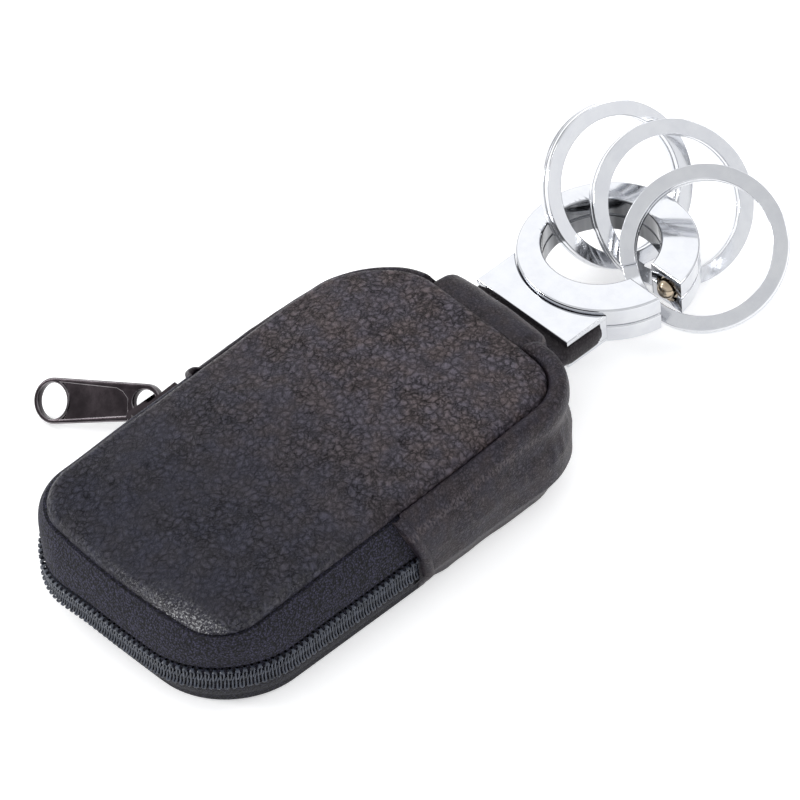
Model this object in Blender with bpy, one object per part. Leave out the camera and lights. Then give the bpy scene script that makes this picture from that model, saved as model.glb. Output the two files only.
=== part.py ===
"""A zip key wallet: a padded leather case, a strap, a metal C-ring and three split key rings.

The case rests on its bottom cover. +X is the case's right side, +Y points from the case
to the key rings and +Z is up. The origin is on the resting plane under the case, where
the leather gusset ends and the zip begins. All lengths are in metres.
"""

import math

import bmesh
import bpy
from mathutils import Matrix, Vector

# Case, plan sizes. Each outline is half a width, a front and a rear edge, the corner
# radii there, and how far the front and rear edges bow outwards.
SEAM_HALF_WIDTH = 0.0210
SEAM_FRONT = 0.0330
SEAM_REAR = 0.0328
SEAM_FRONT_RADIUS = 0.0064
SEAM_REAR_RADIUS = 0.0060
SEAM_FRONT_BOW = 0.0018
SEAM_REAR_BOW = 0.0014
ZIP_HALF_WIDTH = 0.0232
ZIP_FRONT = 0.0362
ZIP_REAR = 0.0358
ZIP_FRONT_RADIUS = 0.0150
ZIP_REAR_RADIUS = 0.0100
ZIP_FRONT_BOW = 0.0010
ZIP_REAR_BOW = 0.0006
BASE_HALF_WIDTH = 0.0221
BASE_FRONT = 0.0348
BASE_REAR = 0.0345
BASE_FRONT_RADIUS = 0.0138
BASE_REAR_RADIUS = 0.0095
BASE_BOW = 0.0006

# Case, heights above the resting plane.
BASE_SEAM_HEIGHT = 0.0016
ZIP_LOW = 0.0049
ZIP_HIGH = 0.0099
SEAM_HEIGHT_FRONT = 0.0151
SEAM_HEIGHT_REAR = 0.0177

# Steps along the outlines.
SIDE_STEPS = 5
CORNER_STEPS = 7
END_STEPS = 8

# Leather, lining and padding.
LEATHER = 0.0012
SOFT_GAP = 0.0003
CUT_OVERRUN = 0.0020
PANEL_EDGE_RISE = 0.0017
PANEL_EDGE_RADIUS = 0.0018
PANEL_DOME = 0.0015
PANEL_RIM_DEPTH = 0.0003
FLEX_GAP = 0.0004
FLEX_LINE_Y = 0.0006
LINING = 0.0005
PADDING_INSET = 0.0022
PADDING_EDGE = 0.0008
BOARD = 0.0008
BOARD_INSET = 0.0014
BASE_CORNER = 0.0014

# Zip tape and chain.
TAPE = 0.0006
TAPE_TUCK = 0.0035
CHAIN_THICK = 0.0012
CHAIN_BACK = 0.0003
TOOTH_PITCH = 0.0015
TOOTH_REACH = 0.0002
TOOTH_ROOT = 0.0007
TOOTH_ROUND = 0.0003
TOOTH_SHOULDER_SHARE = 0.4
CHAIN_END_GAP = 0.0030

# Gusset.
GUSSET_STAND_OFF = 0.0003
GUSSET_FOLD = 0.0006
GUSSET_FOLD_LENGTH = 0.0017
GUSSET_FOLD_TAPER = 1.4
GUSSET_LEAN_TOP = -0.0014
GUSSET_LEAN_BASE = 0.0018

# Zip slider and pull tab.
SLIDER_CENTRE_Y = -0.0052
SLIDER_LENGTH = 0.0085
SLIDER_NOSE_WIDTH = 0.0078
SLIDER_TAIL_WIDTH = 0.0070
SLIDER_PLATE = 0.0008
SLIDER_CLEARANCE = 0.0003
SLIDER_FLANGE = 0.0006
SLIDER_FLANGE_SLOT = 0.0005
SLIDER_POST_LENGTH = 0.0016
SLIDER_POST_WIDTH = 0.0013
SLIDER_WAIST_SHARE = 0.45
BAIL_LENGTH = 0.0077
BAIL_FORWARD = 0.0001
BAIL_WIDTH = 0.0009
BAIL_THICK = 0.0009
BAIL_HEIGHT = 0.0019
BAIL_SHOULDER_SHARE = 0.6
BAIL_INNER_SHARE = 0.7
BAIL_INNER_TURN = 1.6
TAB_HOLE_PITCH = 0.0155
TAB_END_RADIUS = 0.0034
TAB_NECK_RADIUS = 0.0027
TAB_THICK = 0.0014
TAB_HOLE_ALONG = 0.0046
TAB_HOLE_ACROSS = 0.0052
TAB_EYE_ALONG = 0.0040
TAB_EYE_ACROSS = 0.0037
TAB_RECESS = 0.0002
TAB_RIM = 0.0008
TAB_RECESS_END_GAP = 0.0009
TAB_EYE_STAND_OFF = 0.0003
TAB_EYE_LIFT = 0.0002
TAB_EYE_FORWARD = 0.0010
TAB_SWING = math.radians(25.5)
TAB_DROOP = math.radians(16.6)
TAB_ROLL = math.radians(43.2)

# Strap.
STRAP_HALF_WIDTH = 0.0090
STRAP_THICK = 0.0026
STRAP_RISE = 0.0004
STRAP_NOTCH_GAP = 0.0003
STRAP_STAND_OFF = 0.0006
STRAP_BEND_RADIUS = 0.0024
STRAP_HINGE_GAP = 0.0004
STRAP_HINGE_FORWARD = 0.0026
STRAP_BEND_STEPS = 5
STRAP_TIP_SHARE = 0.5
STRAP_TIP_DROP = 0.9

# C-ring.
RING_RADIUS = 0.0135
RING_BAND = 0.0047
RING_HOLE_OFFSET = 0.0014
RING_THICK = 0.0064
RING_BOTTOM = 0.0050
RING_PARTING = 0.0003
RING_EDGE = 0.0004
RING_STEPS = 56
GATE_NEAR = 0.0023
GATE_FAR = 0.0018
LIP_RADIUS = 0.0018
LIP_DEPTH = 0.0005
BORE_RADIUS = 0.0022
BORE_DEPTH = 0.0024
SPRING_BORE_RADIUS = 0.00155
SPRING_BORE_DEPTH = 0.0040
BALL_RADIUS = 0.0016
BALL_SINK = 0.0002
COLLAR_RADIUS = 0.0020
COLLAR_START = 0.0008
COLLAR_LENGTH = 0.0008
SPRING_WIRE = 0.0003
SPRING_TURNS = 3
SPRING_CLEARANCE = 0.0003
PIN_RADIUS = 0.0007
PIN_CLEARANCE = 0.0003
PIN_LENGTH = 0.0040
PIN_ANGLES = (math.radians(112.0), math.radians(205.0))

# Bracket that clamps the strap to the C-ring.
BRACKET_HALF_WIDTH = 0.00955
BRACKET_FRONT = 0.0440
BRACKET_NECK = 0.0040
BRACKET_BOTTOM = 0.0053
BRACKET_TOP = 0.0106
BRACKET_PLATE = 0.0010
BRACKET_WALL = 0.0009
BRACKET_EDGE = 0.00025
SEAT_GAP = 0.0003
ARC_STEPS = 14
TENON_HALF_WIDTH = 0.0040
TENON_THICK = 0.0016
TENON_LENGTH = 0.0018
POST_RADIUS = 0.0009
POST_X = 0.0060
POST_Y = 0.0461
POST_CLEARANCE = 0.0003

# Split key rings: size, then for each ring the angle round the C-ring where it sits, where
# its middle lies from there as shares of its radius, and the way that its face points.
KEY_RING_RADIUS = 0.0125
KEY_RING_BAND = 0.0023
KEY_RING_WIRE = 0.0011
KEY_RING_GAP = 0.0002
KEY_RING_STEPS = 48
KEY_RING_END = math.radians(15.0)
KEY_RING_JOG = math.radians(11.0)
KEY_RING_1_SEAT = math.radians(152.0)
KEY_RING_1_SHARES = (0.3312, 0.2466, 0.2936)
KEY_RING_1_FACE = (0.8299, -0.0506, 0.5556)
KEY_RING_1_START = math.radians(200.0)
KEY_RING_2_SEAT = math.radians(97.0)
KEY_RING_2_SHARES = (0.0868, 0.0097, 0.1368)
KEY_RING_2_FACE = (0.6921, -0.1782, 0.6995)
KEY_RING_2_START = math.radians(235.0)
KEY_RING_3_SEAT = math.radians(34.0)
KEY_RING_3_SHARES = (-0.0593, 0.1608, 0.2216)
KEY_RING_3_FACE = (0.3042, -0.4705, 0.8283)
KEY_RING_3_START = math.radians(215.0)

# Round pieces.
PIN_SIDES = 12
EYE_SIDES = 16
BORE_SIDES = 20
SPRING_STEPS = 12
SPRING_SIDES = 5
BALL_STEPS = 8
MERGE_DISTANCE = 0.00001
ROUND_SHARE = 1 - math.sqrt(0.5)
SMOOTH_ANGLE = math.radians(38.0)

# Finishes: base colour, roughness, metallic.
LEATHER_FINISH = ((0.020, 0.019, 0.021), 0.55, 0.0)
LINING_FINISH = ((0.030, 0.030, 0.033), 0.85, 0.0)
FOAM_FINISH = ((0.16, 0.16, 0.17), 0.95, 0.0)
BOARD_FINISH = ((0.28, 0.24, 0.19), 0.90, 0.0)
TAPE_FINISH = ((0.022, 0.022, 0.026), 0.80, 0.0)
CHAIN_FINISH = ((0.030, 0.034, 0.042), 0.45, 0.0)
GUNMETAL_FINISH = ((0.050, 0.046, 0.047), 0.28, 1.0)
CHROME_FINISH = ((0.80, 0.81, 0.84), 0.10, 1.0)
NICKEL_FINISH = ((0.68, 0.69, 0.71), 0.18, 1.0)
BRONZE_FINISH = ((0.55, 0.42, 0.28), 0.16, 1.0)
STEEL_FINISH = ((0.45, 0.46, 0.48), 0.30, 1.0)

ZIP_MIDDLE = (ZIP_LOW + ZIP_HIGH) / 2
RING_HOLE_RADIUS = RING_RADIUS - RING_BAND
RING_CENTRE_Y = BRACKET_FRONT + BRACKET_NECK + RING_RADIUS
RING_MIDDLE = RING_BOTTOM + RING_THICK / 2
RING_TOP = RING_BOTTOM + RING_THICK
STRAP_MIDDLE = (BRACKET_BOTTOM + BRACKET_TOP) / 2

# Rows round the wall: level 0 is the base seam, 1 and 2 the zip's edges and 3 the top seam.
RUN = 2 * SIDE_STEPS + 2 * CORNER_STEPS + END_STEPS
MID_ZIP_LEVEL_SHARE = 1.5
UPPER_TAPE_LEVEL_SHARES = (3.0, 2.6, 2.3, 2.0)
LOWER_TAPE_LEVEL_SHARES = (1.0, 0.5, 0.0)
GUSSET_LEVEL_SHARES = (0.0, 0.5, 1.0, 2.0, 2.5, 3.0)
DOME_SHARES = (0.80, 0.56, 0.30, 0.08)
EDGE_TURN_SHARES = (0.35, 0.70, 1.0)
BASE_SIZES = (BASE_HALF_WIDTH, BASE_FRONT, BASE_REAR, BASE_FRONT_RADIUS, BASE_REAR_RADIUS,
              BASE_BOW, BASE_BOW)
ZIP_SIZES = (ZIP_HALF_WIDTH, ZIP_FRONT, ZIP_REAR, ZIP_FRONT_RADIUS, ZIP_REAR_RADIUS,
             ZIP_FRONT_BOW, ZIP_REAR_BOW)
SEAM_SIZES = (SEAM_HALF_WIDTH, SEAM_FRONT, SEAM_REAR, SEAM_FRONT_RADIUS, SEAM_REAR_RADIUS,
              SEAM_FRONT_BOW, SEAM_REAR_BOW)


# Scene and object helpers.


def clear_scene():
    for old in list(bpy.data.objects):
        bpy.data.objects.remove(old, do_unlink=True)


def finish(name, look):
    """A plain Principled material with the given colour, roughness and metallic value."""
    colour, roughness, metallic = look
    made = bpy.data.materials.new(name)
    made.use_nodes = True
    shader = made.node_tree.nodes["Principled BSDF"]
    shader.inputs["Base Color"].default_value = (*colour, 1.0)
    shader.inputs["Roughness"].default_value = roughness
    shader.inputs["Metallic"].default_value = metallic
    made.diffuse_color = (*colour, 1.0)
    return made


def add_object(name, mesh, look=None, pivot=None):
    """Links a mesh under its name, with its origin at pivot where it turns or slides."""
    made = bpy.data.objects.new(name, mesh)
    if pivot is not None:
        mesh.transform(Matrix.Translation(-Vector(pivot)))
        made.location = Vector(pivot)
    if look is not None:
        mesh.materials.append(finish(name + "_finish", look))
    bpy.context.scene.collection.objects.link(made)
    return made


def mesh_from(bm, name, smooth=True):
    """Finishes a bmesh: faces out, round faces smooth and corners sharp."""
    bmesh.ops.recalc_face_normals(bm, faces=bm.faces)
    mesh = bpy.data.meshes.new(name)
    bm.to_mesh(mesh)
    bm.free()
    if smooth:
        mesh.shade_smooth()
        mesh.set_sharp_from_angle(angle=SMOOTH_ANGLE)
    return mesh


def loft(name, loops, closed=False):
    """A tube through loops of points, all of one length. Open tubes get a face on each end."""
    bm = bmesh.new()
    rings = [[bm.verts.new(point) for point in loop] for loop in loops]
    pairs = list(zip(rings, rings[1:]))
    if closed:
        pairs.append((rings[-1], rings[0]))
    for first, second in pairs:
        count = len(first)
        for i in range(count):
            j = (i + 1) % count
            bm.faces.new((first[i], first[j], second[j], second[i]))
    if not closed:
        bm.faces.new(rings[0])
        bm.faces.new(rings[-1])
    return mesh_from(bm, name)


def prism(name, outline, low, high, edge=0.0):
    """An outline of (x, y) points raised from low to high. The outline runs anticlockwise."""
    bm = bmesh.new()
    base = bm.faces.new([bm.verts.new((x, y, low)) for x, y in outline])
    raised = bmesh.ops.extrude_face_region(bm, geom=[base])
    tops = [v for v in raised["geom"] if isinstance(v, bmesh.types.BMVert)]
    bmesh.ops.translate(bm, verts=tops, vec=(0, 0, high - low))
    if edge:
        bmesh.ops.recalc_face_normals(bm, faces=bm.faces)
        sharp = [e for e in bm.edges if e.calc_face_angle(0) > SMOOTH_ANGLE]
        bmesh.ops.bevel(bm, geom=sharp, offset=edge, segments=1, affect="EDGES", profile=0.5)
    return mesh_from(bm, name)


def block(name, low, high):
    """A plain box between two corners."""
    outline = [(low[0], low[1]), (high[0], low[1]), (high[0], high[1]), (low[0], high[1])]
    return prism(name, outline, low[2], high[2])


def cylinder(name, start, end, radius, sides):
    """A round bar from start to end."""
    start, end = Vector(start), Vector(end)
    turn = (end - start).to_track_quat("Z", "Y").to_matrix()
    loops = []
    for place in (start, end):
        loops.append([place + turn @ Vector((radius * math.cos(a), radius * math.sin(a), 0))
                      for a in circle_angles(sides)])
    return loft(name, loops)


def circle_angles(count):
    return [math.tau * i / count for i in range(count)]


def cut(target, cutter_mesh, operation="DIFFERENCE"):
    """Cuts, joins or trims target with a hidden cutter."""
    cutter = add_object(target.name + "_cutter", cutter_mesh)
    cutter.hide_render = True
    cutter.display_type = "WIRE"
    change = target.modifiers.new(operation.lower(), "BOOLEAN")
    change.operation = operation
    change.solver = "EXACT"
    change.object = cutter
    return change


def mix(a, b, share):
    return a + (b - a) * share


# The case's outlines.


def outline(sizes, offset=0.0):
    """A clockwise plan outline from the right side's flex line, by the front, and back.

    sizes is (half width, front, rear, front radius, rear radius, front bow, rear bow).
    """
    half, front, rear, front_radius, rear_radius, front_bow, rear_bow = sizes
    half, front, rear = half + offset, front + offset, rear + offset
    front_radius, rear_radius = front_radius + offset, rear_radius + offset
    points = []

    def straight(start, end, steps):
        for i in range(steps):
            points.append([mix(a, b, i / steps) for a, b in zip(start, end)])

    def corner(centre, radius, begin):
        for i in range(CORNER_STEPS):
            angle = begin - math.pi / 2 * i / CORNER_STEPS
            points.append([centre[0] + radius * math.cos(angle), centre[1] + radius * math.sin(angle)])

    front_y, rear_y = front_radius - front, rear - rear_radius
    front_x, rear_x = half - front_radius, half - rear_radius
    straight((half, 0), (half, front_y), SIDE_STEPS)
    corner((front_x, front_y), front_radius, 0)
    straight((front_x, -front), (-front_x, -front), END_STEPS)
    corner((-front_x, front_y), front_radius, -math.pi / 2)
    straight((-half, front_y), (-half, 0), SIDE_STEPS)
    straight((-half, 0), (-half, rear_y), SIDE_STEPS)
    corner((-rear_x, rear_y), rear_radius, math.pi)
    straight((-rear_x, rear), (rear_x, rear), END_STEPS)
    corner((rear_x, rear_y), rear_radius, math.pi / 2)
    straight((half, rear_y), (half, 0), SIDE_STEPS)
    for point in points:
        across = 1 - (point[0] / half) ** 2
        if point[1] < 0:
            point[1] -= front_bow * across * -point[1] / front
        else:
            point[1] += rear_bow * across * point[1] / rear
    return points


def seam_height(y):
    """The top seam climbs from the front to the rear."""
    return mix(SEAM_HEIGHT_FRONT, SEAM_HEIGHT_REAR, (y + SEAM_FRONT) / (SEAM_FRONT + SEAM_REAR))


def wall_row(level, offset=0.0, drop=0.0):
    """Points round the case wall at a level: 0 base seam, 1 and 2 zip edges, 3 top seam."""
    keys = (BASE_SIZES, ZIP_SIZES, ZIP_SIZES, SEAM_SIZES)
    below = min(int(level), len(keys) - 2)
    share = level - below
    sizes = tuple(mix(a, b, share) for a, b in zip(keys[below], keys[below + 1]))
    row = []
    for x, y in outline(sizes, offset):
        heights = (BASE_SEAM_HEIGHT, ZIP_LOW, ZIP_HIGH, seam_height(y))
        row.append(Vector((x, y, mix(heights[below], heights[below + 1], share) - drop)))
    return row


def front_run(row, tuck=0.0):
    """The part of a wall row that the zip follows, with its ends tucked under the gusset."""
    run = row[: RUN + 1]
    tucked = Vector((0, tuck, 0))
    return [run[0] + tucked, *run, run[-1] + tucked] if tuck else run


def rear_run(row):
    """The part of a wall row that the gusset follows, from left to right."""
    return [*row[RUN:], row[0]]


def strip(name, rows):
    """A band along the wall: rows of points, outer ones first and inner ones back."""
    return loft(name, [list(points) for points in zip(*rows)])


# The case.


def dome_loops(under, levels):
    """Loops of a domed panel, from its rim inwards, lowered by under."""
    loops = []
    for inset, scale, rise in levels:
        loop = []
        for x, y in outline(SEAM_SIZES, -inset):
            loop.append(Vector((x * scale, y * scale, seam_height(y * scale) + rise - under)))
        loops.append(loop)
    return loops


def dome_levels(extra_inset):
    """(inset, scale, rise) of each loop: a rounded turned edge, then a shallow dome."""
    levels = [(extra_inset, 1.0, 0.0)]
    for turn in EDGE_TURN_SHARES:
        angle = turn * math.pi / 2
        inset = PANEL_EDGE_RADIUS * (1 - math.cos(angle)) + extra_inset
        levels.append((inset, 1.0, PANEL_EDGE_RISE * math.sin(angle)))
    edge = PANEL_EDGE_RADIUS + extra_inset
    for scale in DOME_SHARES:
        levels.append((edge, scale, PANEL_EDGE_RISE + PANEL_DOME * (1 - scale**2)))
    return levels


def panel_mesh(name):
    """The leather top panel as one shell, open underneath."""
    outer = dome_loops(0.0, dome_levels(0.0))
    inner = dome_loops(LEATHER, dome_levels(LEATHER)[1:])
    rim_low = dome_loops(PANEL_RIM_DEPTH, [(0.0, 1.0, 0.0)])
    rim_back = dome_loops(PANEL_RIM_DEPTH, [(LEATHER, 1.0, 0.0)])
    return loft(name, [*reversed(outer), *rim_low, *rim_back, *inner])


def padding_mesh(name):
    """The foam under the top panel: domed above and flat below."""
    under = LEATHER + SOFT_GAP
    top = dome_loops(under, dome_levels(PADDING_INSET)[1:])
    rim = dome_loops(under, [(PADDING_INSET, 1.0, 0.0)])
    low = dome_loops(under + PADDING_EDGE, [(PADDING_INSET, 1.0, 0.0)])
    return loft(name, [*reversed(top), *rim, *low])


def lining_mesh(name):
    """The lining sheet under the padding."""
    under = LEATHER + SOFT_GAP * 2 + PADDING_EDGE
    top = dome_loops(under, [(PADDING_INSET, 1.0, 0.0)])
    low = dome_loops(under + LINING, [(PADDING_INSET, 1.0, 0.0)])
    return loft(name, [*top, *low])


def half_space(name, front):
    """A cutter that covers the case in front of the flex line, or behind it."""
    reach = ZIP_FRONT + ZIP_HALF_WIDTH
    gap = FLEX_GAP / 2
    low_y, high_y = (-reach, FLEX_LINE_Y - gap) if front else (FLEX_LINE_Y + gap, reach)
    return block(name, (-reach, low_y, 0), (reach, high_y, reach))


def top_pieces():
    """Panel, padding and lining, each parted at the flex line."""
    makers = (("top_panel", panel_mesh, LEATHER_FINISH), ("top_padding", padding_mesh, FOAM_FINISH),
              ("top_lining", lining_mesh, LINING_FINISH))
    for stem, maker, look in makers:
        for end in ("front", "rear"):
            name = f"{stem}_{end}"
            piece = add_object(name, maker(name), look)
            cut(piece, half_space(name + "_side", end == "front"), "INTERSECT")


def flat_loop(sizes, inset, height):
    return [Vector((x, y, height)) for x, y in outline(sizes, -inset)]


def base_pieces():
    """The bottom cover is a shallow dish; a board and a lining lie in it."""
    inner = BASE_CORNER + LEATHER
    floor = LEATHER
    loops = [
        flat_loop(BASE_SIZES, BASE_CORNER, 0),
        flat_loop(BASE_SIZES, BASE_CORNER * ROUND_SHARE, BASE_SEAM_HEIGHT * ROUND_SHARE),
        flat_loop(BASE_SIZES, 0, BASE_SEAM_HEIGHT),
        flat_loop(BASE_SIZES, LEATHER, BASE_SEAM_HEIGHT),
        flat_loop(BASE_SIZES, inner, floor),
    ]
    add_object("bottom_cover", loft("bottom_cover", loops), LEATHER_FINISH)
    board_low = floor + SOFT_GAP
    inset = inner + BOARD_INSET
    board = [flat_loop(BASE_SIZES, inset, z) for z in (board_low, board_low + BOARD)]
    add_object("bottom_board", loft("bottom_board", board), BOARD_FINISH)
    lining_low = board_low + BOARD + SOFT_GAP
    lining = [flat_loop(BASE_SIZES, inset, z) for z in (lining_low, lining_low + LINING)]
    add_object("bottom_lining", loft("bottom_lining", lining), LINING_FINISH)


def tape_pieces():
    """The two zip tapes run round the front and tuck under the gusset at both ends."""
    upper = list(zip(UPPER_TAPE_LEVEL_SHARES, (SOFT_GAP + PANEL_RIM_DEPTH, 0, 0, -SOFT_GAP)))
    lower = list(zip(LOWER_TAPE_LEVEL_SHARES, (SOFT_GAP, 0, -SOFT_GAP)))
    for name, levels in (("zip_tape_upper", upper), ("zip_tape_lower", lower)):
        rows = [front_run(wall_row(level, 0.0, drop), TAPE_TUCK) for level, drop in levels]
        back = [front_run(wall_row(level, -TAPE, drop), TAPE_TUCK) for level, drop in reversed(levels)]
        add_object(name, strip(name, rows + back), TAPE_FINISH)


def even_steps(points, step):
    """Places at even distances along a line of points, with the direction outwards at each."""
    lengths = [0.0]
    for a, b in zip(points, points[1:]):
        lengths.append(lengths[-1] + (b - a).length)
    count = int((lengths[-1] - CHAIN_END_GAP * 2) / step)
    start = (lengths[-1] - count * step) / 2
    places, part = [], 0
    for i in range(count + 1):
        distance = start + i * step
        while part < len(points) - 2 and lengths[part + 1] < distance:
            part += 1
        along = points[part + 1] - points[part]
        share = (distance - lengths[part]) / (lengths[part + 1] - lengths[part])
        outward = Vector((-along.y, along.x, 0)).normalized()
        places.append((points[part] + along * share, outward))
    return places


def chain_piece(name, side):
    """One half of the zip chain. Teeth and roots alternate, so the two halves mesh."""
    path = front_run(wall_row(MID_ZIP_LEVEL_SHARE))
    loops = []
    for i, (place, outward) in enumerate(even_steps(path, TOOTH_PITCH / 2)):
        tooth = (i % 2 == 0) == (side > 0)
        tip = -TOOTH_REACH if tooth else TOOTH_ROOT
        face = CHAIN_THICK if tooth else CHAIN_THICK - TOOTH_ROUND
        edge = (ZIP_HIGH - ZIP_LOW) / 2
        profile = ((-CHAIN_BACK, tip), (face - TOOTH_ROUND, tip), (face, mix(tip, edge, TOOTH_SHOULDER_SHARE)),
                   (face - TOOTH_ROUND * 2, edge), (-CHAIN_BACK, edge))
        loops.append([place + outward * -out + Vector((0, 0, side * up)) for out, up in profile])
    add_object(name, loft(name, loops), CHAIN_FINISH)


def gusset_lean(point):
    """How far the gusset's front edge stands from the flex line: its top leans forward."""
    return mix(GUSSET_LEAN_BASE, GUSSET_LEAN_TOP, (point.z - BASE_SEAM_HEIGHT) / SEAM_HEIGHT_FRONT)


def gusset_piece():
    """The leather wall round the rear half, with its two front edges folded over."""
    drops = (-SOFT_GAP, 0, 0, 0, 0, SOFT_GAP + PANEL_RIM_DEPTH)
    levels = list(zip(GUSSET_LEVEL_SHARES, drops))
    loops = None
    for near, far in ((GUSSET_STAND_OFF, False), (GUSSET_STAND_OFF + LEATHER, True)):
        rows = [rear_run(wall_row(level, near, drop)) for level, drop in levels]
        rows = rows if far else rows[::-1]
        columns = [list(points) for points in zip(*rows)]
        loops = columns if loops is None else [a + b for a, b in zip(loops, columns)]
    for end in (0, -1):
        flat = [point + Vector((0, gusset_lean(point), 0)) for point in loops[end]]
        folded = []
        for i, point in enumerate(flat):
            out = Vector((math.copysign(GUSSET_FOLD, point.x), 0, 0)) if i >= len(levels) else Vector()
            folded.append(point + out)
        shifted = [point + Vector((0, GUSSET_FOLD_LENGTH, 0)) for point in folded]
        inner = [point + Vector((0, GUSSET_FOLD_LENGTH * GUSSET_FOLD_TAPER, 0)) for point in flat]
        if end == 0:
            loops[0:1] = [folded, shifted, inner]
        else:
            loops[-1:] = [inner, shifted, folded]
    gusset = add_object("gusset", loft("gusset", loops), LEATHER_FINISH)
    wide = STRAP_HALF_WIDTH + STRAP_NOTCH_GAP
    low = SEAM_HEIGHT_REAR + STRAP_RISE - STRAP_THICK - STRAP_NOTCH_GAP
    notch = block("strap_notch", (-wide, ZIP_REAR - ZIP_REAR_RADIUS, low),
                  (wide, ZIP_REAR + ZIP_REAR_RADIUS, SEAM_HEIGHT_REAR + ZIP_REAR_RADIUS))
    cut(gusset, notch)


# The zip slider and its pull tab.


def slider_section(y, width, top):
    """A plate across the chain at y with a flange on each edge, turned in to the tape."""
    face = ZIP_HALF_WIDTH + CHAIN_THICK + SLIDER_CLEARANCE
    back = ZIP_HALF_WIDTH - TAPE - SLIDER_CLEARANCE - CHAIN_BACK
    half = width / 2
    inner = half - SLIDER_FLANGE
    if top:
        plate, far, tip = face, face + SLIDER_PLATE, ZIP_HALF_WIDTH + SLIDER_FLANGE_SLOT
    else:
        plate, far, tip = back, back - SLIDER_PLATE, ZIP_HALF_WIDTH - TAPE - SLIDER_FLANGE_SLOT
    shape = ((far, -half), (far, half), (tip, half), (tip, inner), (plate, inner), (plate, -inner),
             (tip, -inner), (tip, -half))
    return [Vector((-x, y, ZIP_MIDDLE + z)) for x, z in shape]


def slider_pieces():
    """Body with two plates and the post between them, the bail, and the pull tab."""
    pivot = (-ZIP_HALF_WIDTH, SLIDER_CENTRE_Y, ZIP_MIDDLE)
    tail, nose = SLIDER_CENTRE_Y - SLIDER_LENGTH / 2, SLIDER_CENTRE_Y + SLIDER_LENGTH / 2
    waist = mix(tail, nose, SLIDER_WAIST_SHARE)
    ends = ((tail, SLIDER_TAIL_WIDTH), (waist, SLIDER_TAIL_WIDTH), (nose, SLIDER_NOSE_WIDTH))
    outer = loft("slider_body", [slider_section(y, width, True) for y, width in ends])
    body = add_object("slider_body", outer, GUNMETAL_FINISH, pivot)
    cut(body, loft("slider_back", [slider_section(y, width, False) for y, width in ends]), "UNION")
    face = ZIP_HALF_WIDTH + CHAIN_THICK + SLIDER_CLEARANCE + SLIDER_PLATE / 2
    back = ZIP_HALF_WIDTH - TAPE - SLIDER_CLEARANCE - CHAIN_BACK - SLIDER_PLATE / 2
    middle = nose - SLIDER_POST_LENGTH / 2
    diamond = ((middle - SLIDER_POST_LENGTH / 2, 0), (middle, -SLIDER_POST_WIDTH / 2),
               (middle + SLIDER_POST_LENGTH / 2, 0), (middle, SLIDER_POST_WIDTH / 2))
    post = [[Vector((-x, y, ZIP_MIDDLE + z)) for y, z in diamond] for x in (back, face)]
    cut(body, loft("slider_post", post), "UNION")
    bail_piece(pivot)
    tab_piece()


def plate_face():
    """How far out the slider's outer face is."""
    return ZIP_HALF_WIDTH + CHAIN_THICK + SLIDER_CLEARANCE + SLIDER_PLATE


def bail_piece(pivot):
    """The arched bail on the slider's outer face."""
    foot = plate_face() + SOFT_GAP
    inner = foot + BAIL_HEIGHT
    outer = inner + BAIL_THICK
    half = BAIL_LENGTH / 2
    shoulder, under = mix(foot, inner, BAIL_SHOULDER_SHARE), mix(foot, inner, BAIL_INNER_SHARE)
    side, turn = half - BAIL_THICK, half - BAIL_THICK * BAIL_INNER_TURN
    shape = ((-half, foot), (-half, shoulder), (-side, outer), (side, outer), (half, shoulder),
             (half, foot), (side, foot), (side, under), (turn, inner), (-turn, inner), (-side, under),
             (-side, foot))
    loops = []
    for z in (-BAIL_WIDTH / 2, BAIL_WIDTH / 2):
        loops.append([Vector((-x, SLIDER_CENTRE_Y + BAIL_FORWARD + y, ZIP_MIDDLE + z)) for y, x in shape])
    add_object("slider_bail", loft("slider_bail", loops), GUNMETAL_FINISH, pivot)


def tab_outline(end_radius, neck_radius, start, pitch):
    """Round ends joined by their common tangents, along +X from the neck to the wide end."""
    lean = math.asin((end_radius - neck_radius) / pitch)
    points = []
    steps = EYE_SIDES // 2
    for i in range(steps + 1):
        angle = mix(math.pi / 2 + lean, math.pi * 3 / 2 - lean, i / steps)
        points.append((start + neck_radius * math.cos(angle), neck_radius * math.sin(angle)))
    for i in range(steps + 1):
        angle = mix(-math.pi / 2 - lean, math.pi / 2 + lean, i / steps)
        points.append((start + pitch + end_radius * math.cos(angle), end_radius * math.sin(angle)))
    return points


def oval(centre, along, across, sides):
    return [(centre + along / 2 * math.cos(a), across / 2 * math.sin(a)) for a in circle_angles(sides)]


def tab_matrix():
    """Places the tab: its +X leads away from the case, and its eye is hooked in the bail."""
    bar = plate_face() + SOFT_GAP + BAIL_HEIGHT + BAIL_THICK / 2
    eye = Vector((-(bar + TAB_EYE_STAND_OFF), SLIDER_CENTRE_Y + TAB_EYE_FORWARD,
                  ZIP_MIDDLE + TAB_EYE_LIFT))
    swing = Matrix.Rotation(math.pi + TAB_SWING, 4, "Z")
    droop = Matrix.Rotation(TAB_DROOP, 4, "Y")
    roll = Matrix.Rotation(-(math.pi / 2 - TAB_ROLL), 4, "X")
    return Matrix.Translation(eye) @ swing @ droop @ roll


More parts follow.
